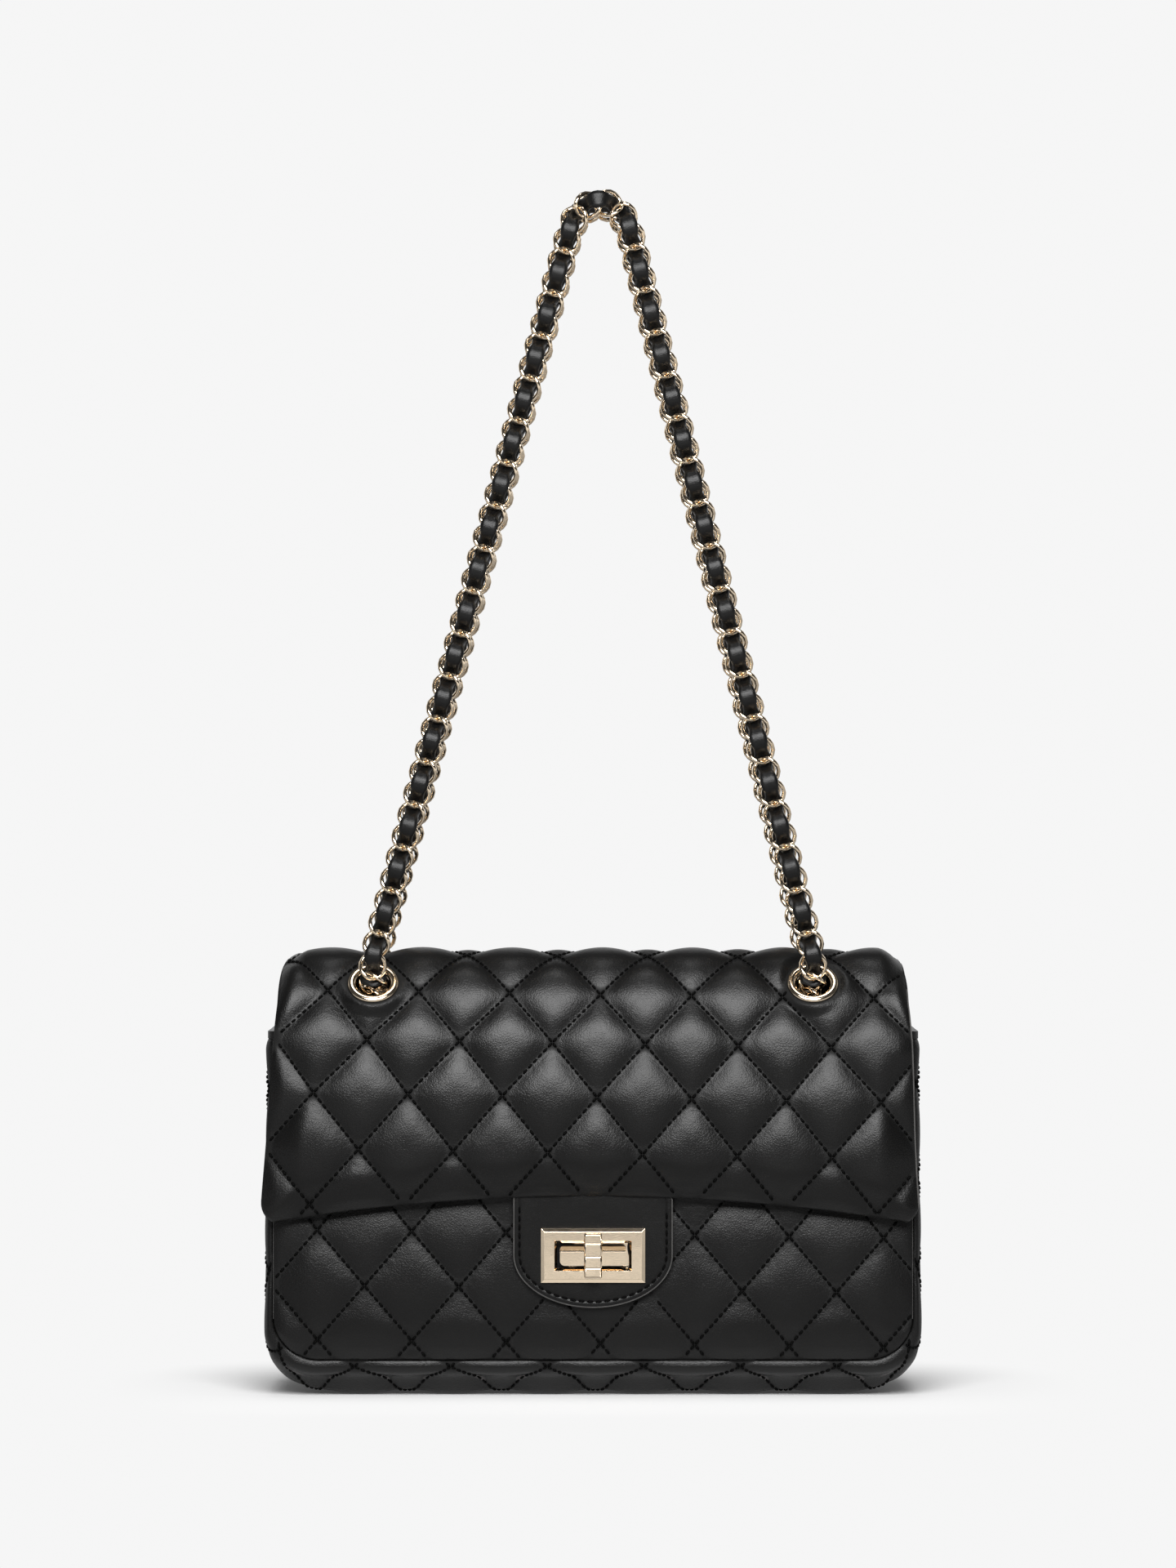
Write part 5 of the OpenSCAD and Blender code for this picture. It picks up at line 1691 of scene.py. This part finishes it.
def floor_material(pale):
    """Matt near the bag, where its shadow falls, and an even tone further away as the camera sees it;
    mirrored rays there see a painted reflection, a glow that fades out far in front and is dimmed close to
    the bag.
    """
    mat, tree, shader, vector = material("pale_floor")
    tone = add(tree, "ShaderNodeTexNoise", Scale=3.0, Detail=2.0)
    tree.links.new(vector, tone.inputs["Vector"])
    tree.links.new(tint(tree, tone.outputs["Fac"], scaled(pale, 0.998), scaled(pale, 1.002)),
                   shader.inputs["Base Color"])
    shader.inputs["Roughness"].default_value = 1.0
    shader.inputs["Specular IOR Level"].default_value = 0.0
    path = add(tree, "ShaderNodeLightPath")
    split = add(tree, "ShaderNodeSeparateXYZ")
    tree.links.new(vector, split.inputs[0])
    away = []
    for axis, half in zip("XY", SHADE_HALF):
        past = math_node(tree, "SUBTRACT", math_node(tree, "ABSOLUTE", split.outputs[axis]), half)
        away.append(math_node(tree, "POWER", math_node(tree, "MAXIMUM", past, 0.0), 2.0))
    far = ramp(tree, math_node(tree, "SQRT", math_node(tree, "ADD", *away)), *SHADE_FADE)
    near = ramp(tree, split.outputs["Y"], *FLOOR_NEAR)
    close = ramp(tree, split.outputs["Y"], *FLOOR_CLOSE)
    # Painted reflection: the floor glows for mirrored rays, fading out far in front and dimmed close to the
    # bag.
    painted_reflection_glow = math_node(tree, "MULTIPLY", near, math_node(tree, "SUBTRACT", 1.0, close))
    even = add(tree, "ShaderNodeEmission", Color=(*pale, 1), Strength=1.0)
    tree.links.new(math_node(tree, "MAXIMUM", painted_reflection_glow, path.outputs["Is Camera Ray"]), even.inputs["Strength"])
    seen = math_node(tree, "MAXIMUM", path.outputs["Is Camera Ray"], path.outputs["Is Glossy Ray"])
    mixed = add(tree, "ShaderNodeMixShader")
    tree.links.new(math_node(tree, "MULTIPLY", seen, far), mixed.inputs[0])
    tree.links.new(shader.outputs[0], mixed.inputs[1])
    tree.links.new(even.outputs[0], mixed.inputs[2])
    tree.links.new(mixed.outputs[0], tree.nodes["Material Output"].inputs["Surface"])
    return mat


def studio_world(pale):
    """A pale backdrop, which mirrored rays meet mostly behind the bag and low down."""
    world = bpy.data.worlds.new("studio")
    world.use_nodes = True
    tree = world.node_tree
    sky = tree.nodes["Background"]
    sky.inputs["Color"].default_value = (*pale, 1)
    path = add(tree, "ShaderNodeLightPath")
    where = add(tree, "ShaderNodeTexCoord")
    split = add(tree, "ShaderNodeSeparateXYZ")
    tree.links.new(where.outputs["Generated"], split.inputs[0])
    behind = ramp(tree, split.outputs["Y"], *SKY_BEHIND)
    under = ramp(tree, split.outputs["Z"], *SKY_UNDER)
    mirrored = math_node(tree, "MULTIPLY", path.outputs["Is Glossy Ray"],
                         math_node(tree, "MINIMUM", behind, under))
    plain = math_node(tree, "SUBTRACT", 1.0, path.outputs["Is Glossy Ray"])
    light = math_node(tree, "ADD", mirrored, math_node(tree, "MULTIPLY", plain, SKY_FILL))
    seen = math_node(tree, "MAXIMUM", path.outputs["Is Camera Ray"], path.outputs["Is Transmission Ray"])
    tree.links.new(math_node(tree, "MAXIMUM", light, seen), sky.inputs["Strength"])
    return world


def place_on_stage(scene, name, data, at, turn):
    obj = bpy.data.objects.new(name, data)
    obj.location = at
    obj.rotation_euler = turn
    scene.collection.objects.link(obj)
    return obj


def place_lamps(scene):
    """A softbox in front of the bag and a wide, weak light from above."""
    box = bpy.data.lights.new("softbox", "AREA")
    box.shape = "RECTANGLE"
    box.size, box.size_y = BOX_WIDE, BOX_TALL
    box.energy = BOX_POWER
    place_on_stage(scene, "softbox", box, BOX_AT, (BOX_AIM - BOX_AT).to_track_quat("-Z", "Y").to_euler())
    sun = bpy.data.lights.new("overhead", "SUN")
    sun.energy = SUN_STRENGTH
    sun.angle = SUN_SPREAD
    place_on_stage(scene, "overhead", sun, (0, 0, 0), (SUN_TILT, 0, 0))


def place_camera(scene):
    """A level camera, far enough away for the perspective of the photograph."""
    data = bpy.data.cameras.new("camera")
    data.lens = SENSOR * VIEW_AWAY / VIEW_TALL
    data.sensor_width = SENSOR
    data.clip_start = 0.05
    data.clip_end = 100
    scene.camera = place_on_stage(scene, "camera", data, CAMERA_AT, (math.pi / 2, 0, 0))


class BAG_OT_stage(bpy.types.Operator):
    """Pale floor, soft studio light and the camera"""
    bl_idname = "bag.stage"
    bl_label = "Stage"

    def execute(self, context):
        scene = context.scene
        scene.view_settings.view_transform = "Standard"
        pale = colours().floor
        clear_selection()
        bpy.ops.mesh.primitive_plane_add(size=FLOOR_SIZE, location=(0, 0, 0))
        floor = bpy.context.view_layer.objects.active
        floor.name = "floor"
        floor.data.materials.append(floor_material(pale))
        scene.world = studio_world(pale)
        place_lamps(scene)
        place_camera(scene)
        return {"FINISHED"}


STEPS = (BAG_OT_body, BAG_OT_flap, BAG_OT_thread, BAG_OT_lining, BAG_OT_tab, BAG_OT_lock,
         BAG_OT_eyelets, BAG_OT_zip, BAG_OT_chain, BAG_OT_lace, BAG_OT_finishes, BAG_OT_stage)


class BAG_PT_panel(bpy.types.Panel):
    """Steps and values of the shoulder bag"""
    bl_idname = "BAG_PT_panel"
    bl_label = "Shoulder Bag"
    bl_space_type = "VIEW_3D"
    bl_region_type = "UI"
    bl_category = "Shoulder Bag"

    def draw(self, context):
        layout = self.layout
        for step in STEPS:
            layout.operator(step.bl_idname)
        for values in (context.scene.bag_sizes, context.scene.bag_colours):
            box = layout.box()
            for name in values.bl_rna.properties.keys():
                if name not in ("rna_type", "name"):
                    box.prop(values, name)


CLASSES = (BagSizes, BagColours, *STEPS, BAG_PT_panel)


def register():
    for cls in CLASSES:
        bpy.utils.register_class(cls)
    bpy.types.Scene.bag_sizes = bpy.props.PointerProperty(type=BagSizes)
    bpy.types.Scene.bag_colours = bpy.props.PointerProperty(type=BagColours)


def unregister():
    del bpy.types.Scene.bag_colours
    del bpy.types.Scene.bag_sizes
    for cls in reversed(CLASSES):
        bpy.utils.unregister_class(cls)


def main():
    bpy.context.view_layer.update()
    register()
    for make in (grain_group, scratch_group, weave_group):
        make()
    for step in STEPS:
        group_name, name = step.bl_idname.split(".")
        getattr(getattr(bpy.ops, group_name), name)()


if __name__ == "__main__":
    main()
